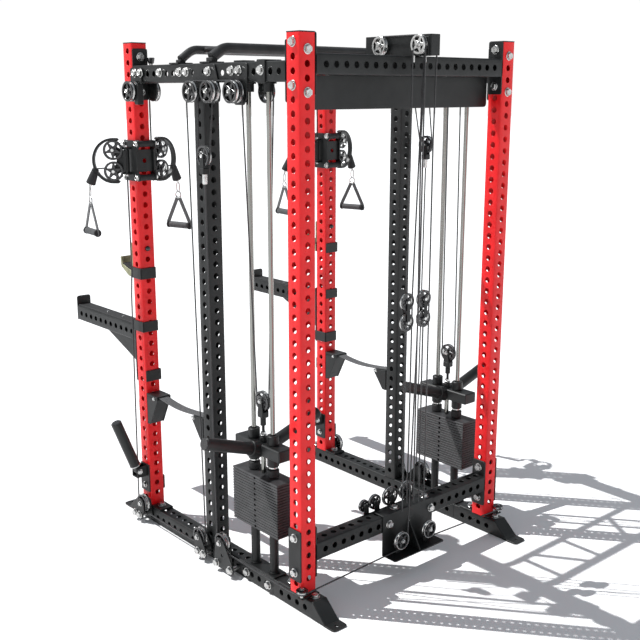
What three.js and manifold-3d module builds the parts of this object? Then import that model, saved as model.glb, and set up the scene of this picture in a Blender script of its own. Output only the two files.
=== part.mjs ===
// Power rack with two weight-stack cable trainers. Millimetres, +Z up.
// The front (cups, spotter arms, trolleys) faces -Y, and +X is the right side seen from the front.
// Dimensions are set out from the plan centre of the four red uprights, on the floor. The last lines
// shift the group so that its origin is the bottom centre of its bounding box.
import * as THREE from 'three';
import Module from 'manifold-3d';
import { mergeVertices } from 'three/addons/utils/BufferGeometryUtils.js';

const wasm = await Module();
wasm.setup();

// ---- driving dimensions ----
const TUBE = 75;
const HALF = TUBE / 2;
const WALL = 3;
const PLATE = 6;
const GAP = 0.3;
const HALF_WIDTH = 565;
const HALF_DEPTH = 570;
const MIDDLE_Y = -25;
const UPRIGHT_TOP = 2255;
const SIDE_BEAM_Z = 2118;
const REAR_BEAM_Z = 2143;
const LOWER_BEAM_Z = 243;
const FLANGE_HEIGHT = 220;
const PULLEY_RADIUS = 42;
const PULLEY_WIDTH = 18;
const CABLE_RADIUS = 3;
const RAIL_END = 800;

// weight stack, its guide rods and the carriage over it
const STACK_Y = 321;
const ROD_OFFSET = 63;
const ROD_RADIUS = 10;
const STACK_BOTTOM = 273;
const STACK_PLATES = 10;
const STACK_PITCH = 23.7;
const STACK_TOP = STACK_BOTTOM + STACK_PLATES * STACK_PITCH;
const STACK_HALF_LENGTH = 150;
const STACK_HALF_WIDTH = 50;
const BUMPER_HEIGHT = 36;
const CARRIAGE_BOTTOM = 598;
const CARRIAGE_TOP = 648;
const LIFT_PULLEY_Z = 820;
const HORN_TILT = THREE.MathUtils.degToRad(17);
const HORN_REACH = 288;

// trolley and its swivelling pulley arms
const TROLLEY_Z = 1743;
const PIVOT_OFFSET = 65;
const ARM_REACH = 60;
const ARM_PULLEY_Z = 47;
const GUARD_RADIUS = 92;
const GUARD_STEPS = 10;
const ARM_A_YAW = THREE.MathUtils.degToRad(-41);
const ARM_B_YAW = THREE.MathUtils.degToRad(195.5);
const HANDLE_REACH = 172;
const HANDLE_Z = -118;

// rack attachments
const CUP_PIN_Z = 1343;
const HOOK_CLEAR = 1.5;
const SPOTTER_Z = 935;
const SPOTTER_LENGTH = 575;
const STRAP_Z = 655;
const SLEEVE_Z = 265;
const SLEEVE_X = 84; // both sleeves lie on the +X side of their upright
const SLEEVE_LEAN = THREE.MathUtils.degToRad(21);

// pull-up bars over the side beams; each grip joins the front bar at one x to the rear bar at another
const PULL_UP_Z = 2215;
const FRONT_BAR = { y: -204, radius: 18 };
const REAR_BAR = { y: 20, radius: 22 };
const GRIP_RADIUS = 14;
const CROSS_GRIPS = [
  { front: 445, rear: 445 },
  { front: 382, rear: 241 },
  { front: 155, rear: 155 },
  { front: -230, rear: -97 },
  { front: -445, rear: -445 },
];

// redirect pulleys: distance outwards from the frame's middle plane, then y and z
const TOP_PULLEY_Z = 2046;
const OUTER_PULLEY_X = 58;
const TOP_OUTER_Y = [-500, -41, 100, 254];
const TOP_INNER_Y = [-528, 288];
const BASE_PULLEYS = [
  { y: -555, z: 97 },
  { y: -65, z: 101 },
  { y: 106, z: 135 },
];
const BASE_PULLEY_X = 68;

// lat pulleys on top of the rear crossmember and low row pulleys behind it
const LAT_PULLEY_RADIUS = 36;
const LAT_PULLEY_X = 40;
const LAT_PULLEY_Z = REAR_BEAM_Z + HALF + 42;
const LAT_PULLEY_Y = [437, 650];
const ROW_PULLEY_RADIUS = 40;
const ROW_PULLEY_X = 86;
const ROW_PULLEY_Y = 658;
const ROW_PULLEY_Z = 171;

// ---- materials ----
const finish = (color, roughness, metalness) =>
  new THREE.MeshStandardMaterial({ color, roughness, metalness });
const RED = finish(0xe3262b, 0.35, 0.1);
const BLACK = finish(0x2c2d2e, 0.55, 0.3);
const CHROME = finish(0xd8d8d8, 0.15, 1);
const IRON = finish(0x3a3a39, 0.6, 0.4);
const PLASTIC = finish(0x141414, 0.4, 0);
const ZINC = finish(0x9a9a78, 0.4, 0.7);
const WEBBING = finish(0x4a4b4d, 0.9, 0);
const RUBBER = finish(0x101010, 0.8, 0);

// ---- solid helpers ----
function toSolid(geometry) {
  geometry.deleteAttribute('normal');
  geometry.deleteAttribute('uv');
  const merged = mergeVertices(geometry, 1e-4);
  const vertProperties = new Float32Array(merged.attributes.position.array);
  const triVerts = new Uint32Array(merged.index.array);
  return new wasm.Manifold(new wasm.Mesh({ numProp: 3, vertProperties, triVerts }));
}

function toGeometry(solid) {
  const mesh = solid.getMesh();
  const geometry = new THREE.BufferGeometry();
  geometry.setAttribute('position', new THREE.BufferAttribute(mesh.vertProperties, 3));
  geometry.setIndex(new THREE.BufferAttribute(mesh.triVerts, 1));
  geometry.computeVertexNormals();
  return geometry;
}

const join = (...solids) => solids.flat().reduce((sum, next) => sum.add(next));
const cut = (solid, ...tools) => tools.flat().reduce((rest, tool) => rest.subtract(tool), solid);

function block([x0, x1], [y0, y1], [z0, z1]) {
  const geometry = new THREE.BoxGeometry(Math.abs(x1 - x0), Math.abs(y1 - y0), Math.abs(z1 - z0));
  geometry.translate((x0 + x1) / 2, (y0 + y1) / 2, (z0 + z1) / 2);
  return toSolid(geometry);
}

// a round bar from one point to another
function bar(from, to, radius, sides = 12, endRadius = radius) {
  const start = new THREE.Vector3(...from);
  const end = new THREE.Vector3(...to);
  const geometry = new THREE.CylinderGeometry(endRadius, radius, start.distanceTo(end), sides);
  const turn = new THREE.Quaternion().setFromUnitVectors(
    new THREE.Vector3(0, 1, 0), end.clone().sub(start).normalize());
  geometry.applyQuaternion(turn);
  geometry.translate(...start.add(end).multiplyScalar(0.5).toArray());
  return toSolid(geometry);
}

// an outline in the YZ plane, extruded between two x values
function sideProfile(points, [x0, x1]) {
  const shape = new THREE.Shape(points.map(([y, z]) => new THREE.Vector2(y, z)));
  const geometry = new THREE.ExtrudeGeometry(shape, { depth: Math.abs(x1 - x0), bevelEnabled: false });
  geometry.applyMatrix4(new THREE.Matrix4().makeBasis(
    new THREE.Vector3(0, 1, 0), new THREE.Vector3(0, 0, 1), new THREE.Vector3(1, 0, 0)));
  geometry.translate(Math.min(x0, x1), 0, 0);
  return toSolid(geometry);
}

// a route whose own points are the steps of the tube
class Route extends THREE.Curve {
  constructor(points) {
    super();
    this.points = points;
  }

  getPoint(t, target = new THREE.Vector3()) {
    const place = t * (this.points.length - 1);
    const first = Math.min(Math.floor(place + 1e-9), this.points.length - 2);
    return target.lerpVectors(this.points[first], this.points[first + 1], place - first);
  }

  getPointAt(u, target) {
    return this.getPoint(u, target);
  }

  getTangentAt(u, target) {
    return this.getTangent(u, target);
  }
}

// corners of a taut line, each rounded with the pulley radius it runs round
function roundCorners(corners, radius, stepsPerCorner = 3) {
  const points = corners.map((corner) => new THREE.Vector3(...corner));
  const route = [points[0]];
  for (let i = 1; i < points.length - 1; i += 1) {
    const before = points[i - 1].clone().sub(points[i]).normalize();
    const after = points[i + 1].clone().sub(points[i]).normalize();
    const setback = radius / Math.tan(before.angleTo(after) / 2);
    const curve = new THREE.QuadraticBezierCurve3(
      points[i].clone().addScaledVector(before, setback), points[i],
      points[i].clone().addScaledVector(after, setback));
    route.push(...curve.getPoints(stepsPerCorner));
  }
  route.push(points[points.length - 1]);
  return route;
}

function tubeAlong(points, radius, sides) {
  const section = new THREE.Shape();
  for (let i = 0; i < sides; i += 1) {
    const angle = (i / sides) * 2 * Math.PI;
    section[i ? 'lineTo' : 'moveTo'](radius * Math.cos(angle), radius * Math.sin(angle));
  }
  return toSolid(new THREE.ExtrudeGeometry(section, {
    steps: points.length - 1, bevelEnabled: false, extrudePath: new Route(points) }));
}

// a grooved pulley whose axis is the local Y axis
function pulley(radius = PULLEY_RADIUS, bore = 6) {
  const half = PULLEY_WIDTH / 2;
  const profile = [
    [bore, -half], [radius, -half], [radius - 5, -1.5], [radius - 5, 1.5], [radius, half], [bore, half],
    [bore, -half],
  ].map(([r, z]) => new THREE.Vector2(r, z));
  return toSolid(new THREE.LatheGeometry(profile, 16));
}

// a plain pulley disc with its axle, standing off a frame face along X
function fixedPulley(x, y, z, frameX, radius = PULLEY_RADIUS) {
  const half = PULLEY_WIDTH / 2;
  return join(
    bar([x - half, y, z], [x + half, y, z], radius, 16),
    bar([frameX, y, z], [x, y, z], 9, 8));
}

// a pulley carrier plate welded to a side face over one z range and standing clear of it over the rest
function carrierPlate(face, yRange, weldRange, freeRange) {
  const out = Math.sign(face);
  return join(
    block([face - out, face + out * PLATE], yRange, weldRange),
    block([face + out * 1.5, face + out * PLATE], yRange, freeRange));
}

// ---- scene assembly ----
const rack = new THREE.Group();

function place(parent, name, solid, material) {
  const mesh = new THREE.Mesh(toGeometry(solid), material);
  mesh.name = name;
  parent.add(mesh);
  return mesh;
}

const sides = [
  { name: 'right', sign: 1 },
  { name: 'left', sign: -1 },
];

// ---- frame ----
function uprightSolid() {
  const outer = block([-HALF, HALF], [-HALF, HALF], [TUBE + GAP, UPRIGHT_TOP]);
  const bore = HALF - WALL;
  return cut(outer, block([-bore, bore], [-bore, bore], [TUBE - WALL, UPRIGHT_TOP - WALL]));
}

function middleUprightSolid() {
  const bore = HALF - WALL;
  const top = SIDE_BEAM_Z - HALF - GAP;
  return cut(
    block([-HALF, HALF], [-HALF, HALF], [TUBE + GAP, top]),
    block([-bore, bore], [-bore, bore], [TUBE - WALL, top + WALL]));
}

// a square tube along Y with a bolting flange at each end, open through the flanges
function flangedBeam(length, z) {
  const half = length / 2;
  const bore = HALF - WALL;
  return cut(
    join(
      block([-HALF, HALF], [-half, half], [z - HALF, z + HALF]),
      block([-HALF, HALF], [-half, -half + PLATE], [z - FLANGE_HEIGHT / 2, z + FLANGE_HEIGHT / 2]),
      block([-HALF, HALF], [half - PLATE, half], [z - FLANGE_HEIGHT / 2, z + FLANGE_HEIGHT / 2])),
    block([-bore, bore], [-half - 1, half + 1], [z - bore, z + bore]));
}

// top side beam with its pulley carriers: outer plates, inner plates and guide rod sockets
function topBeamSolid(sign) {
  const outward = sign * HALF;
  const weld = [SIDE_BEAM_Z - HALF + 3, SIDE_BEAM_Z + 20];
  const free = [TOP_PULLEY_Z - 48, SIDE_BEAM_Z - HALF + 5];
  const carriers = TOP_OUTER_Y.map((y) => join(
    carrierPlate(outward, [y - 32, y + 32], weld, free),
    fixedPulley(sign * OUTER_PULLEY_X, y, TOP_PULLEY_Z, outward + sign * 2)));
  const inner = TOP_INNER_Y.map((y) => join(
    carrierPlate(-outward, [y - 2, y + 62], weld, free),
    fixedPulley(-sign * PIVOT_OFFSET, y, TOP_PULLEY_Z, -outward - sign * 2)));
  const sockets = [-1, 1].map((end) => {
    const y = STACK_Y + end * ROD_OFFSET;
    const top = SIDE_BEAM_Z - HALF;
    return cut(
      bar([0, y, top - 35], [0, y, top + 1], 22),
      bar([0, y, top - 36], [0, y, top - GAP], ROD_RADIUS + GAP, 16));
  });
  const length = 2 * (HALF_DEPTH - HALF - GAP);
  return join(flangedBeam(length, SIDE_BEAM_Z), carriers, inner, sockets);
}

// base rail: a 75 mm tube that ends in a sloped foot with a flat tab, with the low pulleys outside
function baseRailSolid(sign) {
  const tabTop = 8;
  const outline = [
    [-RAIL_END, 0], [RAIL_END, 0], [RAIL_END, tabTop], [745, tabTop], [672, TUBE],
    [-672, TUBE], [-745, tabTop], [-RAIL_END, tabTop],
  ];
  const hollow = block([-HALF + WALL, HALF - WALL], [-660, 660], [WALL, TUBE - WALL]);
  const drain = bar([0, 0, -1], [0, 0, WALL + 1], 12);
  const pulleys = BASE_PULLEYS.map(({ y, z }) => join(
    carrierPlate(sign * HALF, [y - 22, y + 48], [10, TUBE - 5], [TUBE - 7, z + 30]),
    fixedPulley(sign * BASE_PULLEY_X, y, z, sign * (HALF + 3))));
  return join(cut(sideProfile(outline, [-HALF, HALF]), hollow, drain), pulleys);
}

// the pivot bracket of the plate sleeve, welded to an upright's +X face
function sleeveBracket() {
  const face = HALF - 1;
  const outer = SLEEVE_X + 16;
  const at = (low, high) => [SLEEVE_Z + low, SLEEVE_Z + high];
  return join(
    block([face, HALF + PLATE], [-HALF, HALF], at(-115, 30)),
    block([face, outer], [-24, -18], at(-25, 22)),
    block([face, outer], [18, 24], at(-25, 22)),
    block([face, outer], [-24, 24], at(-31, -24)));
}

for (const { name, sign } of sides) {
  place(rack, `${name}_front_upright`, join(uprightSolid(), sleeveBracket()), RED)
    .position.set(sign * HALF_WIDTH, -HALF_DEPTH, 0);
  place(rack, `${name}_rear_upright`, uprightSolid(), RED)
    .position.set(sign * HALF_WIDTH, HALF_DEPTH, 0);
  place(rack, `${name}_middle_upright`, middleUprightSolid(), BLACK)
    .position.set(sign * HALF_WIDTH, MIDDLE_Y, 0);
  place(rack, `${name}_top_beam`, topBeamSolid(sign), BLACK).position.set(sign * HALF_WIDTH, 0, 0);
  place(rack, `${name}_base_rail`, baseRailSolid(sign), BLACK).position.set(sign * HALF_WIDTH, 0, 0);
}

const crossLength = 2 * (HALF_WIDTH - HALF - GAP);
for (const [name, z] of [['rear_top_crossmember', REAR_BEAM_Z], ['rear_lower_crossmember', LOWER_BEAM_Z]]) {
  const beam = place(rack, name, flangedBeam(crossLength, z), BLACK);
  beam.position.set(0, HALF_DEPTH, 0);
  beam.rotation.z = Math.PI / 2;
}

const headerTop = REAR_BEAM_Z - HALF - GAP;
place(rack, 'header_plate', block([-513, 513], [533, 537], [headerTop - 125, headerTop]), BLACK);

// pull-up bars: each rises at 45 degrees from one side beam, runs level and comes down to the other
function pullUpBarSolid(radius) {
  const foot = SIDE_BEAM_Z + HALF + GAP;
  const rise = PULL_UP_Z - foot;
  const corners = [
    [-HALF_WIDTH, 0, foot + radius], [-HALF_WIDTH + rise, 0, PULL_UP_Z],
    [HALF_WIDTH - rise, 0, PULL_UP_Z], [HALF_WIDTH, 0, foot + radius],
  ];
  const tube = tubeAlong(roundCorners(corners, 60), radius, 12);
  const feet = [-1, 1].map((end) => {
    const x = end * (HALF_WIDTH - radius * 0.2);
    return block([x - radius * 1.3, x + radius * 1.3], [-radius, radius], [foot, foot + radius * 1.4]);
  });
  return join(tube, feet);
}

// cross grips, welded to the front bar; a slanting grip ends a little further from the rear bar, to clear it
function crossGrips() {
  const span = REAR_BAR.y - FRONT_BAR.y;
  return CROSS_GRIPS.map(({ front, rear }) => {
    const lean = GRIP_RADIUS * Math.abs(front - rear) / span;
    const end = span - REAR_BAR.radius - GAP - lean;
    return bar([front, 0, PULL_UP_Z], [rear, end, PULL_UP_Z], GRIP_RADIUS);
  });
}
const frontBar = join(pullUpBarSolid(FRONT_BAR.radius), crossGrips());
place(rack, 'front_pull_up_bar', frontBar, BLACK).position.y = FRONT_BAR.y;
place(rack, 'rear_pull_up_bar', pullUpBarSolid(REAR_BAR.radius), BLACK).position.y = REAR_BAR.y;

// lat pulley box: a channel open downwards, lying over the rear crossmember
function latBoxSolid() {
  const bottom = REAR_BEAM_Z + HALF + GAP;
  const top = bottom + 80;
  const walls = cut(
    block([-25, 25], [340, 700], [bottom, top]),
    block([-25 + WALL, 25 - WALL], [340 + WALL, 700 - WALL], [bottom - 1, top - WALL]));
  const pulleys = LAT_PULLEY_Y.map((y) =>
    fixedPulley(LAT_PULLEY_X, y, LAT_PULLEY_Z, 24, LAT_PULLEY_RADIUS));
  return join(walls, pulleys);
}
place(rack, 'lat_pulley_box', latBoxSolid(), BLACK);

// low row bracket: a plate folded over the lower crossmember with a foot plate and two pulleys
function lowRowSolid() {
  const face = HALF_DEPTH + HALF + GAP;
  const top = LOWER_BEAM_Z + HALF + GAP;
  const foot = 102;
  const gusset = [[face, foot], [face + 80, foot], [face + 80, foot + 12], [face, top - 40]];
  const half = PULLEY_WIDTH / 2;
  const pulleys = [-ROW_PULLEY_X, ROW_PULLEY_X].map((x) => join(
    bar([x, ROW_PULLEY_Y - half, ROW_PULLEY_Z], [x, ROW_PULLEY_Y + half, ROW_PULLEY_Z], ROW_PULLEY_RADIUS),
    bar([x, ROW_PULLEY_Y - half - 8, ROW_PULLEY_Z], [x, ROW_PULLEY_Y, ROW_PULLEY_Z], 9, 8),
    block([x - 12, x + 12], [ROW_PULLEY_Y - half - 10, ROW_PULLEY_Y - half - 4], [foot, ROW_PULLEY_Z + 14])));
  return join(
    block([-154, 154], [face, face + PLATE], [foot, top + PLATE]),
    block([-154, 154], [HALF_DEPTH - 10, face + PLATE], [top, top + PLATE]),
    block([-154, 154], [face, 690], [foot, foot + PLATE]),
    sideProfile(gusset, [-3, 3]),
    pulleys);
}
place(rack, 'low_row_bracket', lowRowSolid(), BLACK);

// ---- weight stacks ----
function guideRodSolid() {
  const legTop = STACK_BOTTOM - GAP;
  const rodTop = SIDE_BEAM_Z - HALF - 2 * GAP;
  const posts = [-1, 1].map((end) => {
    const y = STACK_Y + end * ROD_OFFSET;
    return join(
      bar([0, y, TUBE + GAP], [0, y, legTop], 19),
      bar([0, y, legTop - 1], [0, y, rodTop], ROD_RADIUS, 16));
  });
  const foot = block([-35, 35], [STACK_Y - 105, STACK_Y + 105], [TUBE + GAP, TUBE + GAP + PLATE]);
  return join(posts, foot);
}

const rodHoles = (from, to, radius) => [-1, 1].map((end) => {
  const y = STACK_Y + end * ROD_OFFSET;
  return bar([0, y, from], [0, y, to], radius);
});

function stackSolid() {
  const groove = 1.5;
  const deep = 2;
  const plates = [];
  for (let i = 0; i < STACK_PLATES; i += 1) {
    const z = STACK_BOTTOM + i * STACK_PITCH;
    plates.push(
      block([-STACK_HALF_WIDTH, STACK_HALF_WIDTH],
        [STACK_Y - STACK_HALF_LENGTH, STACK_Y + STACK_HALF_LENGTH], [z, z + STACK_PITCH - groove]));
    plates.push(
      block([-STACK_HALF_WIDTH + deep, STACK_HALF_WIDTH - deep],
        [STACK_Y - STACK_HALF_LENGTH + deep, STACK_Y + STACK_HALF_LENGTH - deep],
        [z + 1, z + STACK_PITCH]));
  }
  const bumpers = rodHoles(STACK_TOP - 5, STACK_TOP + BUMPER_HEIGHT, 25);
  return cut(join(plates, bumpers), rodHoles(0, 700, ROD_RADIUS + 2));
}

function carriageSolid() {
  const middle = (CARRIAGE_BOTTOM + CARRIAGE_TOP) / 2;
  const body = block([-HALF, HALF], [STACK_Y - 148, STACK_Y + 148], [CARRIAGE_BOTTOM, CARRIAGE_TOP]);
  const collarBottom = STACK_TOP + BUMPER_HEIGHT + 2;
  const collars = rodHoles(collarBottom, CARRIAGE_TOP + 42, 25);
  const horns = [-1, 1].map((end) => join(
    bar([end * 20, STACK_Y, middle], [end * (HALF + 34), STACK_Y, middle + 6], 31),
    bar([end * 20, STACK_Y, middle - 5], [
      end * (20 + HORN_REACH * Math.cos(HORN_TILT)), STACK_Y,
      middle - 5 + HORN_REACH * Math.sin(HORN_TILT)], 25)));
  const stem = bar([0, STACK_Y, STACK_TOP + GAP], [0, STACK_Y, LIFT_PULLEY_Z - 60], 10);
  const yokeBase = block([-17, 17], [STACK_Y - 24, STACK_Y + 24], [LIFT_PULLEY_Z - 85, LIFT_PULLEY_Z - 50]);
  const cheeks = [-1, 1].map((end) => block(
    [end * 11, end * 17], [STACK_Y - 14, STACK_Y + 14], [LIFT_PULLEY_Z - 60, LIFT_PULLEY_Z + 14]));
  const axle = bar([-16, STACK_Y, LIFT_PULLEY_Z], [16, STACK_Y, LIFT_PULLEY_Z], 5, 12);
  const passages = rodHoles(0, 800, ROD_RADIUS + 1.5);
  return cut(join(body, collars, horns, stem, yokeBase, cheeks, axle), passages);
}

for (const { name, sign } of sides) {
  const bay = new THREE.Group();
  bay.position.x = sign * HALF_WIDTH;
  rack.add(bay);
  place(bay, `${name}_guide_rods`, guideRodSolid(), CHROME);
  place(bay, `${name}_weight_stack`, stackSolid(), IRON);
  place(bay, `${name}_carriage`, carriageSolid(), BLACK);
  const lift = place(bay, `${name}_lifting_pulley`, pulley(), PLASTIC);
  lift.position.set(0, STACK_Y, LIFT_PULLEY_Z);
  lift.rotation.z = Math.PI / 2;
}

// ---- trolleys, swivel arms, pulleys and handles ----
function trolleySolid() {
  const plateIn = HALF + 2.5;
  const plateOut = plateIn + PLATE;
  const cheeks = [-1, 1].map((end) => block([end * plateIn, end * plateOut], [-72, 72], [-92, 92]));
  const covers = [-1, 1].map((end) => block([-plateIn - 1, plateIn + 1], [end * 41, end * 46], [-48, 48]));
  const rollers = [];
  const lugs = [];
  for (const a of [-1, 1]) {
    for (const b of [-1, 1]) {
      rollers.push(bar([-plateIn - 1, a * 53, b * 75], [plateIn + 1, a * 53, b * 75], 14));
      lugs.push(block([a * (plateOut - 1), a * (PIVOT_OFFSET + 12)], [-13, 13], [b * 51, b * 61]));
    }
  }
  const pins = [-1, 1].map((end) =>
    bar([end * PIVOT_OFFSET, 0, -60], [end * PIVOT_OFFSET, 0, 60], 5, 12));
  return join(cheeks, covers, rollers, lugs, pins);
}

// arm: barrel on the pivot, web, two link plates beside the pulleys, guard loop and cable stop
function armSolid() {
  const reach = ARM_REACH;
  const barrel = bar([0, 0, -50], [0, 0, 50], 11);
  const cheeks = [-1, 1].map((end) => join(
    block([0, reach + 12], [end * 10.5, end * 14.5], [-14, 14]),
    block([reach - 12, reach + 12], [end * 10.5, end * 14.5], [-60, 60])));
  const web = block([0, 14], [-14.5, 14.5], [-14, 14]);
  const axles = [-1, 1].map((end) =>
    bar([reach, -14, end * ARM_PULLEY_Z], [reach, 14, end * ARM_PULLEY_Z], 5, 12));
  const arc = [];
  for (let i = 0; i <= GUARD_STEPS; i += 1) {
    const angle = Math.PI / 2 - (i / GUARD_STEPS) * Math.PI;
    arc.push(new THREE.Vector3(reach + GUARD_RADIUS * Math.cos(angle), 0, 1.06 * GUARD_RADIUS * Math.sin(angle)));
  }
  const guard = tubeAlong(arc, 6, 6);
  const ends = [-1, 1].map((end) => block([reach - 10, reach + 6], [-14.5, 14.5], [end * 90, end * 99]));
  const sidesUp = [-1, 1].flatMap((a) => [-1, 1].map((b) =>
    block([reach - 10, reach + 6], [a * 10.5, a * 14.5], [b * 55, b * 99])));
  const stop = bar([reach + 82, 0, -38], [HANDLE_REACH - 4, 0, HANDLE_Z + 14], 13, 12, 19);
  return cut(
    join(barrel, cheeks, web, axles, guard, ends, sidesUp, stop),
    bar([0, 0, -70], [0, 0, 70], 5.6, 12));
}

// handle: link, ring, two strap legs and a grip, hanging from its own origin
function handleSolid() {
  const ringZ = -72;
  const gripZ = -208;
  const half = 62;
  const link = bar([0, 0, -2], [0, 0, ringZ], 4.5, 8);
  const ring = block([-20, 20], [-3, 3], [ringZ - 6, ringZ + 2]);
  const legs = [-1, 1].map((end) => bar([0, 0, ringZ - 2], [end * half, 0, gripZ], 6, 8));
  const grip = bar([-half, 0, gripZ], [half, 0, gripZ], 15, 12);
  return join(link, ring, legs, grip);
}

for (const { name, sign } of sides) {
  const trolley = new THREE.Group();
  trolley.position.set(sign * HALF_WIDTH, -HALF_DEPTH, TROLLEY_Z);
  rack.add(trolley);
  place(trolley, `${name}_trolley`, trolleySolid(), BLACK);
  const arms = [
    { tag: 'a', across: 1, yaw: ARM_A_YAW, twist: THREE.MathUtils.degToRad(55) },
    { tag: 'b', across: -1, yaw: ARM_B_YAW, twist: THREE.MathUtils.degToRad(90) },
  ];
  for (const { tag, across, yaw, twist } of arms) {
    const arm = new THREE.Group();
    arm.position.x = across * PIVOT_OFFSET;
    arm.rotation.z = yaw;
    trolley.add(arm);
    place(arm, `${name}_arm_${tag}`, armSolid(), BLACK);
    for (const [level, z] of [['upper', ARM_PULLEY_Z], ['lower', -ARM_PULLEY_Z]]) {
      place(arm, `${name}_arm_${tag}_${level}_pulley`, pulley(), PLASTIC).position.set(ARM_REACH, 0, z);
    }
    const handle = place(arm, `${name}_handle_${tag}`, handleSolid(), WEBBING);
    handle.position.set(HANDLE_REACH, 0, HANDLE_Z);
    handle.rotation.z = twist;
  }
}

// ---- attachments on the front uprights ----
// a strip bent round the front, outer and rear faces of an upright
function hookBand([z0, z1], thick = 5, clear = HOOK_CLEAR) {
  const inner = HALF + clear;
  const outer = inner + thick;
  return join(
    block([-HALF, outer], [-outer, -inner], [z0, z1]),
    block([inner, outer], [-outer, outer], [z0, z1]),
    block([-HALF, outer], [inner, outer], [z0, z1]));
}

function cupSolid() {
  const face = -(HALF + HOOK_CLEAR);
  const profile = [
    [face, -140], [face - 40, -140], [face - 98, -100], [face - 100, -62], [face - 88, -62],
    [face - 80, -96], [face - 16, -112], [face - 6, -100], [face - 6, 22], [face, 22],
  ];
  return join(sideProfile(profile, [-HALF, HALF]), hookBand([-141, -89]));
}

function spotterSolid() {
  const face = -(HALF + HOOK_CLEAR);
  const tip = face - SPOTTER_LENGTH;
  const bore = HALF - WALL;
  const tube = cut(
    block([-HALF, HALF], [tip, face - 2], [-HALF, HALF]),
    block([-bore, bore], [tip - 1, face - 8], [-bore, bore]));
  const lip = block([-HALF, HALF], [tip - PLATE, tip + 0.5], [HALF - 8, HALF + 48]);
  const back = block([-HALF, HALF], [face - PLATE - 2, face], [-235, 66]);
  const gusset = sideProfile([[face - 2, -HALF + 1], [face - 285, -HALF + 1], [face - 2, -150]], [-4, 4]);
  const lowHook = join(
    block([-HALF - 7.5, -HALF - 1.5], [-HALF - 9, HALF + 6.5], [-225, -172]),
    block([-HALF - 7.5, HALF - 10], [HALF + 1.5, HALF + 6.5], [-225, -172]),
    block([-HALF - 7.5, 0], [face - 7.5, face], [-225, -172]));
  return join(tube, lip, back, gusset, hookBand([16, 66]), lowHook);
}

function sleeveSolid() {
  const neck = 30;
  const length = 285;
  return join(
    bar([0, 0, neck], [0, 0, length], 25, 16),
    bar([0, -16, 0], [0, 16, 0], 15),
    block([-12, 12], [-16, 16], [0, neck + 1]));
}

// straps hang between a bracket on the front upright and one on the middle upright
const strapFront = -(HALF_DEPTH - HALF) + GAP;
const strapRear = MIDDLE_Y - HALF - GAP;
const FRONT_BRACKET_DEPTH = 128;
const REAR_BRACKET_DEPTH = 138;
const REAR_BRACKET_RISE = 30;
const REAR_BRACKET_TOP = STRAP_Z - 5;

function frontStrapBracketSolid() {
  const face = strapFront;
  const edge = face + FRONT_BRACKET_DEPTH;
  const outline = [
    [face, STRAP_Z - 150], [face + 22, STRAP_Z - 150], [edge, STRAP_Z - 8], [edge, STRAP_Z], [face, STRAP_Z],
  ];
  const inside = [
    [face + 5, STRAP_Z - 151], [face + 18, STRAP_Z - 151], [edge - 12, STRAP_Z - 6], [face + 5, STRAP_Z - 6],
  ];
  return cut(sideProfile(outline, [-HALF, HALF]), sideProfile(inside, [-HALF + 5, HALF - 5]));
}

function rearStrapBracketSolid() {
  const face = strapRear;
  const tip = face - REAR_BRACKET_DEPTH;
  const tipTop = REAR_BRACKET_TOP - REAR_BRACKET_RISE;
  const outline = [
    [face, STRAP_Z - 115], [face, REAR_BRACKET_TOP], [tip, tipTop], [tip, tipTop - 8],
  ];
  const inside = [
    [face - 5, STRAP_Z - 116], [face - 5, REAR_BRACKET_TOP - 8], [tip + 12, tipTop - 7], [tip + 4, tipTop - 16],
  ];
  return cut(sideProfile(outline, [-HALF, HALF]), sideProfile(inside, [-HALF + 5, HALF - 5]));
}

function strapSolid() {
  const thick = 3;
  const dip = 14;
  const level = STRAP_Z + GAP;
  const leave = strapFront + FRONT_BRACKET_DEPTH;
  const land = strapRear - REAR_BRACKET_DEPTH;
  const landZ = REAR_BRACKET_TOP - REAR_BRACKET_RISE + GAP;
  const under = [[strapFront + 20, level]];
  const steps = 12;
  for (let i = 0; i <= steps; i += 1) {
    const t = i / steps;
    under.push([leave + (land - leave) * t, level + (landZ - level) * t - dip * Math.sin(Math.PI * t) ** 2]);
  }
  under.push([strapRear - 4, REAR_BRACKET_TOP + GAP]);
  const over = under.map(([y, z]) => [y, z + thick]).reverse();
  return sideProfile([...under, ...over], [-24, 24]);
}

for (const { name, sign } of sides) {
  const front = new THREE.Group();
  front.position.set(sign * HALF_WIDTH, -HALF_DEPTH, 0);
  rack.add(front);
  place(front, `${name}_j_cup`, cupSolid(), ZINC).position.z = CUP_PIN_Z;
  place(front, `${name}_spotter_arm`, spotterSolid(), BLACK).position.z = SPOTTER_Z;
  const sleeve = place(front, `${name}_plate_sleeve`, sleeveSolid(), BLACK);
  sleeve.position.set(SLEEVE_X, 0, SLEEVE_Z);
  sleeve.rotation.y = SLEEVE_LEAN;
  const bay = new THREE.Group();
  bay.position.x = sign * HALF_WIDTH;
  rack.add(bay);
  place(bay, `${name}_front_strap_bracket`, frontStrapBracketSolid(), BLACK);
  place(bay, `${name}_rear_strap_bracket`, rearStrapBracketSolid(), BLACK);
  place(bay, `${name}_safety_strap`, strapSolid(), WEBBING);
}

// ---- cables ----
// Each trainer cable is drawn as two runs that meet under the lifting pulley. The upper run leaves
// the inner arm's pivot, passes the two inner top pulleys and comes down to the lifting pulley: to its
// rear side on the right of the rack, and to its front side on the left.
// The lower run rises from there, passes the outer top pulleys and the low pulleys, and ends at
// the outer arm's pivot.
const run = PULLEY_RADIUS + CABLE_RADIUS + GAP;
const LEAN = 3; // a leaning run leaves its pulley this much further out
const topRun = TOP_PULLEY_Z + run;
const trolleyTop = TROLLEY_Z + 62;
const trolleyBottom = TROLLEY_Z - 62;

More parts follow.
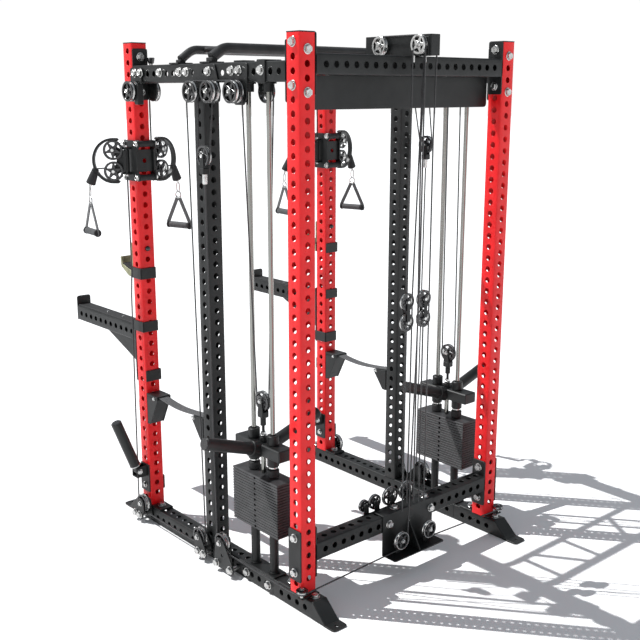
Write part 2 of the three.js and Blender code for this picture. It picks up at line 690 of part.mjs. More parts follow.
function upperRun(sign) {
  const armX = sign * (HALF_WIDTH - PIVOT_OFFSET);
  const stackX = sign * HALF_WIDTH;
  const frontY = TOP_INNER_Y[0] - run;
  const rearY = TOP_INNER_Y[1] + run;
  return [
    [armX, frontY, trolleyTop], [armX, frontY, topRun], [armX, rearY, topRun],
    [armX, rearY, TOP_PULLEY_Z - 60], [stackX, STACK_Y + sign * run, TOP_PULLEY_Z - 220],
    [stackX, STACK_Y + sign * run, LIFT_PULLEY_Z],
  ];
}

function lowerRun(sign) {
  const outX = sign * (HALF_WIDTH + OUTER_PULLEY_X);
  const lowX = sign * (HALF_WIDTH + BASE_PULLEY_X);
  const armX = sign * (HALF_WIDTH + PIVOT_OFFSET);
  const stackX = sign * HALF_WIDTH;
  const [front, middle] = BASE_PULLEYS;
  const lastTop = TOP_OUTER_Y[3];
  const firstTop = TOP_OUTER_Y[1];
  return [
    [stackX, STACK_Y - sign * run, LIFT_PULLEY_Z], [stackX, STACK_Y - sign * run, TOP_PULLEY_Z - 220],
    [outX, lastTop + run, TOP_PULLEY_Z - 60], [outX, lastTop + run, topRun],
    [outX, firstTop - run - LEAN, topRun], [lowX, middle.y + run + LEAN, middle.z - run],
    [lowX, front.y - run - LEAN, front.z - run], [armX, -HALF_DEPTH, trolleyBottom],
  ];
}

for (const { name, sign } of sides) {
  const cable = (corners) => tubeAlong(roundCorners(corners, 40), CABLE_RADIUS, 8);
  place(rack, `${name}_upper_cable`, cable(upperRun(sign)), RUBBER);
  place(rack, `${name}_lower_cable`, cable(lowerRun(sign)), RUBBER);
}

// lat cable: over the two lat pulleys, down behind the rear crossmembers, under a low row pulley
// and along to the right rear upright
const latTop = LAT_PULLEY_Z + LAT_PULLEY_RADIUS + CABLE_RADIUS + GAP;
const latRear = LAT_PULLEY_Y[1] + LAT_PULLEY_RADIUS + CABLE_RADIUS + GAP;
const rowRun = ROW_PULLEY_RADIUS + CABLE_RADIUS + GAP;
const latRun = [
  [LAT_PULLEY_X, LAT_PULLEY_Y[0] - 50, latTop], [LAT_PULLEY_X, latRear, latTop],
  [LAT_PULLEY_X, latRear, 1200], [ROW_PULLEY_X - rowRun - LEAN, ROW_PULLEY_Y, ROW_PULLEY_Z - rowRun],
  [HALF_WIDTH - 10, ROW_PULLEY_Y, ROW_PULLEY_Z - rowRun - LEAN],
];
place(rack, 'lat_cable', tubeAlong(roundCorners(latRun, 34), CABLE_RADIUS, 8), RUBBER);

// the spotter arms reach further forward than the rails reach back
const frontReach = HALF_DEPTH + HALF + HOOK_CLEAR + SPOTTER_LENGTH + PLATE;
rack.position.y = (frontReach - RAIL_END) / 2;

export default rack;
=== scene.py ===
import math
from itertools import product

import bmesh
import bpy
import numpy as np
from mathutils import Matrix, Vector
from mathutils.geometry import delaunay_2d_cdt


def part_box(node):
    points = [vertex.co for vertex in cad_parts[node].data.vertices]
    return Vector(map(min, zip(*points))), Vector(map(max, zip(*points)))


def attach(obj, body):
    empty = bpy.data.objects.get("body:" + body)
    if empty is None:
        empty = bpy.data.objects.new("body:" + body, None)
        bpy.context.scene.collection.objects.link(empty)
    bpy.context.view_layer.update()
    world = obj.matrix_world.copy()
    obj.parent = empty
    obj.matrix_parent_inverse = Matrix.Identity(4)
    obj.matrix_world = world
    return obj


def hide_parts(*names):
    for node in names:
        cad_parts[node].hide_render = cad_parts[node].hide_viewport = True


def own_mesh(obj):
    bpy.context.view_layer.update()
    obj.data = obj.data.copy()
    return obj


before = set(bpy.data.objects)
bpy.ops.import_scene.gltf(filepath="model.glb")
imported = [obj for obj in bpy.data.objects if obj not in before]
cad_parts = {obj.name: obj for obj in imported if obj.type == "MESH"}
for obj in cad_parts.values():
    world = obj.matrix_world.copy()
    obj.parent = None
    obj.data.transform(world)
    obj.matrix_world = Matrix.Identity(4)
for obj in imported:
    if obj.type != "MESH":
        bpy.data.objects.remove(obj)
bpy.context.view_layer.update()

# ---- places, in millimetres from the plan centre of the four red uprights, on the floor ----
# Pieces are built in these units; Piece.finish turns them into metres in the shared frame.
MM = 0.001
near_low, near_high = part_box("right_rear_upright")
far_low, far_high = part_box("left_front_upright")
ORIGIN = Vector((0, (near_low.y + near_high.y + far_low.y + far_high.y) / 4, 0))
HALF_WIDTH = (near_low.x + near_high.x) / 2 / MM
HALF_DEPTH = ((near_low.y + near_high.y) / 2 - ORIGIN.y) / MM
UPRIGHT_TOP = near_high.z / MM
CAP_THICKNESS = 5
SIDES = (("right", 1), ("left", -1))

TUBE = 75
HALF = TUBE / 2
GAP = 0.3
WALL = 3
PLATE = 6
CORNER = 6
PITCH = 50
HOLE = 12.5
HOLE_BEVEL = 0.8
HOLE_SIDES = 16
MIDDLE_Y = -25
SIDE_BEAM_Z = 2118
REAR_BEAM_Z = 2143
LOWER_BEAM_Z = 243
BEAM_END = HALF_DEPTH - HALF
FLANGE_HEIGHT = 220
FLANGE_BOLT = 75
FLANGE_CORNER = 9
PULLEY_RADIUS = 44
PULLEY_WIDTH = 18
GROOVE = PULLEY_RADIUS - 3
CABLE_RADIUS = 3.2
RIDING_RADIUS = CABLE_RADIUS + 0.3

STACK_Y = 321
ROD_OFFSET = 63
ROD_RADIUS = 10
STACK_BOTTOM = 273
STACK_TOP = 510
STACK_LAYERS = 20
STACK_HALF_X = 50
STACK_HALF_Y = 150
STACK_SEAM = 2.2
PIN_HOLE = 6
LIFT_PULLEY_Z = 820
LIFT_GROOVE = 38
CARRIAGE_LOW = 598
CARRIAGE_HIGH = 648
HORN_ROOT_Z = 609
HORN_TILT = math.radians(18.5)

TROLLEY_Z = 1743
TROLLEY_DROP = 250
TROLLEY_RISE = 50
TROLLEY_CLEAR = 2.5
ROLLER_Y = 54
ROLLER_Z = 75
PIVOT_OFFSET = 65
ARM_REACH = 60
ARM_PULLEY_Z = 47
GUARD_REACH = 88
GUARD_HEIGHT = 95
HANDLE_REACH = 172
HANDLE_Z = -118
GRIP_Z = -202
CUP_PIN_Z = 1343
HOOK_CLEAR = 1.5
HOOK_THICKNESS = 5
SPOTTER_Z = 935
SPOTTER_LENGTH = 575
STRAP_Z = 655
STRAP_BRACKET_REACH = 92
STRAP_WIDTH = 48
STRAP_THICKNESS = 3.2
STRAP_SAG = 11
SLEEVE_Z = 265
SLEEVE_X = 84
SLEEVE_LEAN = math.radians(21)

TOP_PULLEY_Z = 2046
OUTER_PULLEY_X = 58
SECOND_PULLEY_X = 80
FRONT_INNER_Y = -528
REAR_INNER_Y = 288
MIDDLE_OUTER_Y = -41
REAR_OUTER_Y = 254
BASE_PULLEY_X = 68
BASE_PULLEYS = ((-555, 97), (-65, 101), (106, 135))
LAT_PULLEY_Y = (437, 650)
LAT_PULLEY_X = 40
LAT_PULLEY_Z = REAR_BEAM_Z + HALF + 42
ROW_PULLEY_X = 86
ROW_PULLEY_Y = 658
ROW_PULLEY_Z = 171
ROW_PLANE_Y = 660

X, Y, Z = np.eye(3)


# ---- camera ----
def make_camera():
    """The photograph's viewpoint, behind the rack's right side."""
    place = (2846.6, 3291.3, 2051.2)
    yaw, pitch = math.radians(41.09), math.radians(13.43)
    lens = 54.15
    forward = Vector((-math.sin(yaw) * math.cos(pitch), -math.cos(yaw) * math.cos(pitch), -math.sin(pitch)))
    data = bpy.data.cameras.new("camera")
    data.lens = lens
    data.clip_end = 100
    camera = bpy.data.objects.new("camera", data)
    camera.location = Vector(place) * MM + ORIGIN
    camera.rotation_mode = "QUATERNION"
    camera.rotation_quaternion = forward.to_track_quat("-Z", "Y")
    bpy.context.scene.collection.objects.link(camera)
    bpy.context.scene.camera = camera


make_camera()


# ---- materials ----
def set_stops(ramp, stops):
    """Gives a colour ramp its two stops, each a position and a colour."""
    for element, (position, color) in zip(ramp.color_ramp.elements, stops):
        element.position = position
        element.color = (*color, 1)


class Shader:
    """A Principled material with short ways to add texture nodes in object space."""

    def __init__(self, name, color, roughness, metallic=0.0, **sockets):
        self.material = bpy.data.materials.new(name)
        self.material.use_nodes = True
        self.nodes = self.material.node_tree.nodes
        self.links = self.material.node_tree.links
        self.shader = self.nodes["Principled BSDF"]
        self.shader.inputs["Base Color"].default_value = (*color, 1)
        self.shader.inputs["Roughness"].default_value = roughness
        self.shader.inputs["Metallic"].default_value = metallic
        for socket, value in sockets.items():
            self.shader.inputs[socket.replace("_", " ")].default_value = value
        self.space = self.nodes.new("ShaderNodeTexCoord").outputs["Object"]

    def stretched(self, scale):
        mapping = self.nodes.new("ShaderNodeMapping")
        mapping.inputs["Scale"].default_value = scale
        self.links.new(self.space, mapping.inputs["Vector"])
        return mapping.outputs["Vector"]

    def noise(self, scale, detail, vector=None):
        node = self.nodes.new("ShaderNodeTexNoise")
        node.inputs["Scale"].default_value = scale
        node.inputs["Detail"].default_value = detail
        self.links.new(vector or self.space, node.inputs["Vector"])
        return node.outputs["Fac"]

    def waves(self, scale, direction, distortion):
        node = self.nodes.new("ShaderNodeTexWave")
        node.bands_direction = direction
        node.inputs["Scale"].default_value = scale
        node.inputs["Distortion"].default_value = distortion
        self.links.new(self.space, node.inputs["Vector"])
        return node.outputs["Fac"]

    def multiplied(self, first, second):
        node = self.nodes.new("ShaderNodeMath")
        node.operation = "MULTIPLY"
        for socket, value in zip(node.inputs, (first, second)):
            self.links.new(value, socket)
        return node.outputs["Value"]

    def color(self, factor, stops):
        node = self.nodes.new("ShaderNodeValToRGB")
        set_stops(node, stops)
        self.links.new(factor, node.inputs["Fac"])
        self.links.new(node.outputs["Color"], self.shader.inputs["Base Color"])

    def rough(self, factor, low, high):
        node = self.nodes.new("ShaderNodeMapRange")
        node.inputs["To Min"].default_value = low
        node.inputs["To Max"].default_value = high
        self.links.new(factor, node.inputs["Value"])
        self.links.new(node.outputs["Result"], self.shader.inputs["Roughness"])

    def bump(self, height, distance, strength):
        node = self.nodes.new("ShaderNodeBump")
        node.inputs["Distance"].default_value = distance
        node.inputs["Strength"].default_value = strength
        self.links.new(height, node.inputs["Height"])
        self.links.new(node.outputs["Normal"], self.shader.inputs["Normal"])


def powder_coat(name, dark, light, rough_range, grain):
    """Sprayed coat: orange-peel bump, faint mottling and uneven gloss."""
    shader = Shader(name, light, rough_range[1], Specular_IOR_Level=0.35)
    shader.color(shader.noise(9, 5), [(0.35, dark), (0.65, light)])
    shader.rough(shader.noise(60, 4), *rough_range)
    shader.bump(shader.noise(grain, 2), 0.0006, 0.35)
    return shader.material


def bare_metal(name, dark, light, rough_range, scale):
    """Metal whose tone and gloss vary a little over its surface."""
    shader = Shader(name, light, rough_range[1], 1.0)
    shader.color(shader.noise(scale, 4), [(0.3, dark), (0.7, light)])
    shader.rough(shader.noise(scale * 4, 3), *rough_range)
    shader.bump(shader.noise(scale * 20, 2), 0.0002, 0.15)
    return shader.material


def chrome_rod():
    """Polished rod with fine marks along its length."""
    shader = Shader("chrome_rod", (0.30, 0.30, 0.28), 0.12, 1.0)
    along = shader.stretched((900, 900, 6))
    shader.color(shader.noise(1, 3, along), [(0.3, (0.17, 0.17, 0.155)), (0.7, (0.36, 0.36, 0.34))])
    shader.rough(shader.noise(1, 3, along), 0.06, 0.18)
    return shader.material


def moulded_plastic():
    """Glossy black plastic with a faint grain."""
    shader = Shader("moulded_plastic", (0.012, 0.012, 0.013), 0.22, Coat_Weight=0.3)
    shader.color(shader.noise(40, 3), [(0.3, (0.009, 0.009, 0.01)), (0.7, (0.02, 0.02, 0.021))])
    shader.rough(shader.noise(120, 3), 0.16, 0.34)
    shader.bump(shader.noise(700, 2), 0.0003, 0.2)
    return shader.material


def soft_rubber(name, color, grain):
    """Dull rubber or foam with a grained skin."""
    shader = Shader(name, color, 0.7)
    darker = tuple(0.6 * c for c in color)
    shader.color(shader.noise(70, 4), [(0.3, darker), (0.7, color)])
    shader.rough(shader.noise(150, 3), 0.6, 0.85)
    shader.bump(shader.noise(grain, 4), 0.0008, 0.6)
    return shader.material


def woven_webbing():
    """Flat nylon weave: ribs across the band with a finer thread along it."""
    shader = Shader("webbing", (0.06, 0.062, 0.066), 0.85, Sheen_Weight=0.3)
    ribs = shader.waves(180, "Y", 0.4)
    threads = shader.waves(260, "X", 0.4)
    weave = shader.multiplied(ribs, threads)
    shader.color(weave, [(0.1, (0.03, 0.031, 0.033)), (0.8, (0.095, 0.098, 0.104))])
    shader.rough(shader.noise(90, 3), 0.75, 0.95)
    shader.bump(weave, 0.0009, 0.8)
    return shader.material


def cable_sheath():
    """Black sheath that shows the lay of the steel rope beneath it."""
    shader = Shader("cable_sheath", (0.014, 0.014, 0.015), 0.38, Coat_Weight=0.2)
    shader.color(shader.noise(50, 3), [(0.3, (0.009, 0.009, 0.01)), (0.7, (0.02, 0.02, 0.022))])
    shader.rough(shader.noise(200, 2), 0.3, 0.5)
    shader.bump(shader.waves(130, "DIAGONAL", 0.2), 0.0004, 0.4)
    return shader.material


def stack_iron():
    """Painted cast plates with a fine sanded grain."""
    shader = Shader("stack_iron", (0.035, 0.035, 0.036), 0.5)
    shader.color(shader.noise(22, 6), [(0.3, (0.020, 0.020, 0.021)), (0.7, (0.042, 0.042, 0.044))])
    shader.rough(shader.noise(80, 4), 0.4, 0.62)
    shader.bump(shader.noise(420, 4), 0.0006, 0.4)
    return shader.material


def hole_shadow():
    """Painted shade: a flat black with no reflection that stands for the unlit inside of a small drilled
    hole.
    """
    shader = Shader("hole_shadow", (0.002, 0.002, 0.002), 1.0, Specular_IOR_Level=0.0)
    shader.color(shader.noise(60, 2), [(0.3, (0.0005, 0.0005, 0.0005)), (0.7, (0.003, 0.003, 0.003))])
    return shader.material


RED = powder_coat("red_coat", (0.66, 0.004, 0.006), (0.80, 0.007, 0.010), (0.30, 0.45), 420)
BAR = powder_coat("bar_coat", (0.022, 0.022, 0.022), (0.04, 0.04, 0.04), (0.28, 0.42), 520)
BLACK = powder_coat("black_coat", (0.006, 0.007, 0.007), (0.013, 0.014, 0.014), (0.36, 0.50), 520)
STEEL = bare_metal("bolt_steel", (0.42, 0.42, 0.41), (0.68, 0.68, 0.67), (0.16, 0.32), 60)
OLIVE = bare_metal("olive_zinc", (0.20, 0.20, 0.12), (0.38, 0.38, 0.25), (0.3, 0.5), 30)
CHROME = chrome_rod()
PLASTIC = moulded_plastic()
RUBBER = soft_rubber("rubber", (0.016, 0.016, 0.017), 500)
FOAM = soft_rubber("foam_grip", (0.075, 0.077, 0.080), 900)
WEBBING = woven_webbing()
SHEATH = cable_sheath()
IRON = stack_iron()
SHADOW = hole_shadow()
WHITE = powder_coat("white_plastic", (0.72, 0.72, 0.70), (0.84, 0.84, 0.82), (0.35, 0.5), 300)


# ---- solids: each returns (points, faces) in millimetres ----
def outward(points, faces):
    """Turns a closed solid's faces so that they point out."""
    points = np.asarray(points, float)
    volume = 0.0
    for face in faces:
        first = points[face[0]]
        for a, b in zip(face[1:-1], face[2:]):
            volume += first @ np.cross(points[a], points[b])
    return points, faces if volume > 0 else [tuple(reversed(face)) for face in faces]


def box(low, high, chamfer=1.2):
    """A block with chamfered edges. A point is named by its corner and by the face that it lies on."""
    low, high = np.minimum(low, high), np.maximum(low, high)
    chamfer = min(chamfer, 0.45 * (high - low).min())
    middle, half = (low + high) / 2, (high - low) / 2
    index, points = {}, []
    for corner in product((-1, 1), repeat=3):
        for axis in range(3):
            reach = half - chamfer
            reach[axis] = half[axis]
            index[corner, axis] = len(points)
            points.append(middle + np.array(corner) * reach)
    faces = [tuple(index[corner, axis] for axis in range(3)) for corner in product((-1, 1), repeat=3)]
    for axis in range(3):
        first, second = [k for k in range(3) if k != axis]
        for sign in (-1, 1):
            side = []
            for a, b in ((-1, -1), (1, -1), (1, 1), (-1, 1)):
                corner = [0, 0, 0]
                corner[axis], corner[first], corner[second] = sign, a, b
                side.append(index[tuple(corner), axis])
            faces.append(tuple(side))
        for a, b in product((-1, 1), repeat=2):
            low_end, high_end = [0, 0, 0], [0, 0, 0]
            low_end[axis], high_end[axis] = -1, 1
            for end in (low_end, high_end):
                end[first], end[second] = a, b
            low_end, high_end = tuple(low_end), tuple(high_end)
            faces.append((index[low_end, first], index[high_end, first],
                          index[high_end, second], index[low_end, second]))
    points = np.array(points)
    turned = []
    for face in faces:
        a, b, c = points[list(face[:3])]
        outside = np.cross(b - a, c - a) @ (points[list(face)].mean(0) - middle) > 0
        turned.append(face if outside else tuple(reversed(face)))
    return points, turned


def block(centre, half, low, high, chamfer):
    """A box between two heights; centre and half are its middle and its half sizes in the plan."""
    return box((*np.subtract(centre, half), low), (*np.add(centre, half), high), chamfer)


def lathe(profile, sides):
    """A turned solid about Z from (radius, height) points; an open profile starts and ends on the axis."""
    closed = profile[0] == profile[-1]
    rows = profile[:-1] if closed else profile
    points, rings = [], []
    for radius, height in rows:
        if radius < 1e-9:
            rings.append([len(points)])
            points.append((0, 0, height))
            continue
        rings.append(list(range(len(points), len(points) + sides)))
        for k in range(sides):
            angle = 2 * math.pi * k / sides
            points.append((radius * math.cos(angle), radius * math.sin(angle), height))
    faces = []
    pairs = list(zip(rings, rings[1:])) + ([(rings[-1], rings[0])] if closed else [])
    for lower, upper in pairs:
        for k in range(sides):
            n = (k + 1) % sides
            if len(lower) == 1:
                faces.append((lower[0], upper[n], upper[k]))
            elif len(upper) == 1:
                faces.append((lower[k], lower[n], upper[0]))
            else:
                faces.append((lower[k], lower[n], upper[n], upper[k]))
    return outward(points, faces)


def frame_along(axis):
    """A 3x3 turn that carries Z onto axis."""
    axis = np.asarray(axis, float) / np.linalg.norm(axis)
    helper = X if abs(axis[0]) < 0.9 else Y
    side = np.cross(helper, axis)
    side /= np.linalg.norm(side)
    return np.array([side, np.cross(axis, side), axis]).T


def rod(start, end, radius, end_radius=None, chamfer=1.0, sides=24):
    """A round bar between two points with chamfered ends."""
    start, end = np.asarray(start, float), np.asarray(end, float)
    length = np.linalg.norm(end - start)
    tip = radius if end_radius is None else end_radius
    points, faces = lathe([
        (0, 0), (radius - chamfer, 0), (radius, chamfer), (tip, length - chamfer),
        (tip - chamfer, length), (0, length)], sides)
    return points @ frame_along(end - start).T + start, faces


def ring(centre, axis, inner, outer, width, chamfer=0.8, sides=28):
    """A washer or collar about axis, with a chamfered rim."""
    half = width / 2
    points, faces = lathe([
        (inner, -half), (outer - chamfer, -half), (outer, -half + chamfer), (outer, half - chamfer),
        (outer - chamfer, half), (inner, half), (inner, -half)], sides)
    return points @ frame_along(axis).T + np.asarray(centre, float), faces


def sweep(route, radius, sides=10, flat=None):
    """A tube along a route; flat=(half width, half thickness, up) makes a band instead."""
    route = np.asarray(route, float)
    tangents = np.gradient(route, axis=0)
    tangents /= np.linalg.norm(tangents, axis=1)[:, None]
    side = np.cross(tangents[0], flat[2] if flat else (Z if abs(tangents[0][2]) < 0.9 else X))
    side /= np.linalg.norm(side)
    points = []
    for place, tangent in zip(route, tangents):
        side = side - (side @ tangent) * tangent
        side /= np.linalg.norm(side)
        up = np.cross(side, tangent)
        if flat:
            wide, thick = flat[0] * side, flat[1] * up
            points += [place - wide - thick, place + wide - thick, place + wide + thick, place - wide + thick]
            continue
        for k in range(sides):
            angle = 2 * math.pi * k / sides
            points.append(place + radius * (math.cos(angle) * side + math.sin(angle) * up))
    count = 4 if flat else sides
    faces = [tuple(range(count)), tuple(range(len(points) - count, len(points)))[::-1]]
    for row in range(len(route) - 1):
        for k in range(count):
            a, b = row * count + k, row * count + (k + 1) % count
            faces.append((a, a + count, b + count, b))
    return outward(points, faces)


def bend(start, corner, end, steps):
    """Points on the curve from start to end that a corner draws towards itself."""
    parts = np.arange(steps + 1) / steps
    return [(1 - t) ** 2 * start + 2 * t * (1 - t) * corner + t ** 2 * end for t in parts]


def rounded(corners, radii, steps=5):
    """A 2-D outline with its corners rounded; radii is one radius, or one for each corner."""
    corners = [np.asarray(c, float) for c in corners]
    if isinstance(radii, (int, float)):
        radii = [radii] * len(corners)
    outline = []
    for k, (corner, radius) in enumerate(zip(corners, radii)):
        before, after = corners[k - 1] - corner, corners[(k + 1) % len(corners)] - corner
        room = min(np.linalg.norm(before), np.linalg.norm(after)) / 2
        before, after = before / np.linalg.norm(before), after / np.linalg.norm(after)
        opening = math.acos(np.clip(before @ after, -1, 1))
        setback = min(radius / math.tan(opening / 2), room)
        if setback < 1e-6:
            outline.append(corner)
            continue
        outline += bend(corner + before * setback, corner, corner + after * setback, steps)
    return outline


def inset(outline, distance):
    """The outline moved inwards, for a counter-clockwise loop."""
    loop = np.asarray(outline)
    ahead, behind = np.roll(loop, -1, 0) - loop, loop - np.roll(loop, 1, 0)
    ahead /= np.linalg.norm(ahead, axis=1)[:, None]
    behind /= np.linalg.norm(behind, axis=1)[:, None]
    normal = np.stack([-(ahead + behind)[:, 1], (ahead + behind)[:, 0]], 1)
    normal /= np.linalg.norm(normal, axis=1)[:, None]
    stretch = 1 / np.maximum(0.5, np.abs(ahead[:, 0] * normal[:, 1] - ahead[:, 1] * normal[:, 0]))
    return loop + normal * (distance * stretch)[:, None]


def inside(point, loop):
    """Whether the point lies within the loop, by the edges that a ray from it crosses."""
    crossings = 0
    for a, b in zip(loop, np.roll(loop, -1, 0)):
        if (a[1] > point[1]) != (b[1] > point[1]):
            crossings += point[0] < a[0] + (point[1] - a[1]) * (b[0] - a[0]) / (b[1] - a[1])
    return crossings % 2 == 1


def plate(outline, thickness, origin, across, up, holes=(), chamfer=0.8):
    """A flat plate: its outline lies in the plane of across and up, and it grows along their cross product.
    holes are (u, v, radius)."""
    loop = np.asarray(outline, float)
    loop = loop[np.linalg.norm(loop - np.roll(loop, 1, 0), axis=1) > 0.01]
    area = np.sum(loop[:, 0] * np.roll(loop[:, 1], -1) - np.roll(loop[:, 0], -1) * loop[:, 1])
    if area < 0:
        loop = loop[::-1]
    angles = np.linspace(0, 2 * math.pi, HOLE_SIDES, endpoint=False)
    unit = np.stack([np.cos(angles), np.sin(angles)], 1)
    circles = [(np.array([u, v]), radius) for u, v, radius in holes]
    walls = [loop] + [centre + radius * unit for centre, radius in circles]
    caps = [inset(loop, chamfer)] + [centre + (radius + chamfer) * unit for centre, radius in circles]
    wall, cap = np.vstack(walls), np.vstack(caps)
    edges, start = [], 0
    for ring_points in walls:
        count = len(ring_points)
        edges += [(start + k, start + (k + 1) % count) for k in range(count)]
        start += count
    _, _, triangles, *_ = delaunay_2d_cdt([Vector(p) for p in wall], edges, [], 0, 1e-6)
    kept = []
    for triangle in triangles:
        middle = wall[list(triangle)].mean(0)
        solid = all(np.linalg.norm(middle - centre) > radius for centre, radius in circles)
        if solid and inside(middle, loop):
            kept.append(tuple(triangle))
    layers = [(cap, 0), (wall, chamfer), (wall, thickness - chamfer), (cap, thickness)]
    points = np.vstack([np.column_stack([p, np.full(len(p), height)]) for p, height in layers])
    count = len(wall)
    faces = [tuple(reversed(t)) for t in kept] + [tuple(3 * count + i for i in t) for t in kept]
    start = 0
    for ring_points in walls:
        size = len(ring_points)
        for layer in range(3):
            for k in range(size):
                a = layer * count + start + k
                b = layer * count + start + (k + 1) % size
                faces.append((a, b, b + count, a + count))
        start += size
    across, up = np.asarray(across, float), np.asarray(up, float)
    basis = np.array([across, up, np.cross(across, up)])
    return points @ basis + np.asarray(origin, float), faces


def rectangle(u0, v0, u1, v1):
    return [(u0, v0), (u1, v0), (u1, v1), (u0, v1)]


class SquareTube:
    """A square tube along local Z. Its faces are numbered 0 for +X, 1 for +Y, 2 for -X and 3 for -Y."""

    OUT = ((1, 0), (0, 1), (-1, 0), (0, -1))
    ACROSS = ((0, 1), (-1, 0), (0, -1), (1, 0))
    CORNERS = ((1, 1), (-1, 1), (-1, -1), (1, -1))
    ARC_STEPS = 3
    FLAT = HALF - CORNER

    def __init__(self, levels):
        self.levels = levels
        self.points, self.faces = [], []

    def put(self, rows):
        index = len(self.points)
        self.points.extend(rows)
        return index

    def on_face(self, number, shape, z, depth):
        """Points given across the face and along the tube from z, at a depth below the outside."""
        out, across = self.OUT[number], self.ACROSS[number]
        reach = HALF - depth
        return [(out[0] * reach + across[0] * u, out[1] * reach + across[1] * u, v + z) for u, v in shape]

    def add_hole(self, number, z):
        """A patch of one pitch on the outside and the inside, joined through the hole's wall."""
        angles = 2 * math.pi * (np.arange(HOLE_SIDES) - 2) / HOLE_SIDES
        circle = np.stack([np.cos(angles), np.sin(angles)], 1)
        quarter = np.linspace(-1, 1, HOLE_SIDES // 4 + 1)[:-1]
        patch = [(1, t) for t in quarter] + [(-t, 1) for t in quarter]
        patch = np.array(patch + [(-1, -t) for t in quarter] + [(t, -1) for t in quarter])
        patch = patch * (self.FLAT, PITCH / 2)
        rings = ((patch, 0), (circle * (HOLE + HOLE_BEVEL), 0), (circle * HOLE, HOLE_BEVEL),
                 (circle * HOLE, WALL), (patch, WALL))
        bases = [self.put(self.on_face(number, shape, z, depth)) for shape, depth in rings]
        for a, b in zip(bases, bases[1:]):
            for k in range(HOLE_SIDES):
                n = (k + 1) % HOLE_SIDES
                self.faces.append((a + k, a + n, b + n, b + k))

    def add_face(self, number, holes):
        low, high = self.levels[:-1], self.levels[1:]
        plain = np.ones(len(low), bool)
        for z in holes:
            plain &= (low <= z - PITCH / 2 - 1) | (high >= z + PITCH / 2 + 1)
            self.add_hole(number, z)
        for row in np.flatnonzero(plain):
            strip = rectangle(-self.FLAT, low[row], self.FLAT, high[row])
            for depth, order in ((0, (0, 1, 2, 3)), (WALL, (3, 2, 1, 0))):
                base = self.put(self.on_face(number, strip, 0, depth))
                self.faces.append(tuple(base + k for k in order))

    def arc(self, number, radius):
        """The corner between a face and the next one, seen along the tube."""
        pivot = self.FLAT * np.array(self.CORNERS[number])
        angles = [math.pi / 2 * (number + k / self.ARC_STEPS) for k in range(self.ARC_STEPS + 1)]
        return [pivot + radius * np.array([math.cos(angle), math.sin(angle)]) for angle in angles]

    def add_corner(self, number):
        for radius, inner in ((CORNER, False), (CORNER - WALL, True)):
            bases = [self.put([(x, y, z) for z in self.levels]) for x, y in self.arc(number, radius)]
            for a, b in zip(bases, bases[1:]):
                for k in range(len(self.levels) - 1):
                    self.add_quad((a + k, b + k, b + k + 1, a + k + 1), inner)

    def add_end(self, z, lower):
        outer, inner = ([point for number in range(4) for point in self.arc(number, radius)]
                        for radius in (CORNER, CORNER - WALL))
        count = len(outer)
        a = self.put([(x, y, z) for x, y in outer])
        b = self.put([(x, y, z) for x, y in inner])
        for k in range(count):
            n = (k + 1) % count
            self.add_quad((a + k, a + n, b + n, b + k), lower)

    def add_quad(self, quad, turned):
        self.faces.append(tuple(reversed(quad)) if turned else quad)


def perforated_tube(start, end, hole_rows, grid, turn, centre):
    """A square tube with round holes. hole_rows maps a face number to hole places along the tube, all on the
    grid of a quarter pitch that passes through the value grid."""
    step = PITCH / 4
    first = math.ceil((start - grid) / step + 1e-6)
    last = math.floor((end - grid) / step - 1e-6)
    levels = np.array([start] + [grid + step * k for k in range(first, last + 1)] + [end])
    tube = SquareTube(levels)
    for number in range(4):
        tube.add_face(number, sorted(hole_rows.get(number, ())))
        tube.add_corner(number)
    tube.add_end(start, True)
    tube.add_end(end, False)
    return np.array(tube.points, float) @ np.asarray(turn, float) + np.asarray(centre, float), tube.faces


# ---- pieces ----
class Piece:
    """Collects solids into one mesh that rides on a CAD body."""

    WELD = 0.02
    SHARP = math.radians(32)

    def __init__(self, name, body="root"):
        self.name, self.body = name, body
        self.points, self.faces, self.marks, self.materials = [], [], [], []
        self.count = 0

    def add(self, solid, material):
        points, faces = solid
        if material not in self.materials:
            self.materials.append(material)
        mark = self.materials.index(material)
        self.points.append(points)
        self.faces += [tuple(i + self.count for i in face) for face in faces]
        self.marks += [mark] * len(faces)
        self.count += len(points)
        return self

    def moved(self, solid, turn, place):
        """A solid given in a turned local frame, as rack coordinates."""
        return solid[0] @ np.asarray(turn, float).T + np.asarray(place, float), solid[1]

    def finish(self, *replaced, slot=None):
        """Makes the object; replaced are the CAD nodes that it stands for."""
        mesh = bpy.data.meshes.new(self.name)
        points = np.vstack(self.points) * MM + np.array(ORIGIN)
        mesh.from_pydata(points.tolist(), [], self.faces)
        for material in self.materials:
            mesh.materials.append(material)
        mesh.polygons.foreach_set("material_index", self.marks)
        mesh.validate()
        edit = bmesh.new()
        edit.from_mesh(mesh)
        bmesh.ops.remove_doubles(edit, verts=edit.verts, dist=self.WELD * MM)
        edit.to_mesh(mesh)
        edit.free()
        mesh.shade_smooth()
        mesh.set_sharp_from_angle(angle=self.SHARP)
        piece = bpy.data.objects.new(self.name, mesh)
        bpy.context.scene.collection.objects.link(piece)
        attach(piece, self.body)
        if replaced:
            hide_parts(*replaced)
        return piece


# ---- fittings ----
def spin(angle):
    """A turn about Z."""
    cosine, sine = math.cos(angle), math.sin(angle)
    return np.array([[cosine, -sine, 0], [sine, cosine, 0], [0, 0, 1]])


def tilt(angle):
    """A turn about Y that leans Z towards +X."""
    cosine, sine = math.cos(angle), math.sin(angle)
    return np.array([[cosine, 0, sine], [0, 1, 0], [-sine, 0, cosine]])


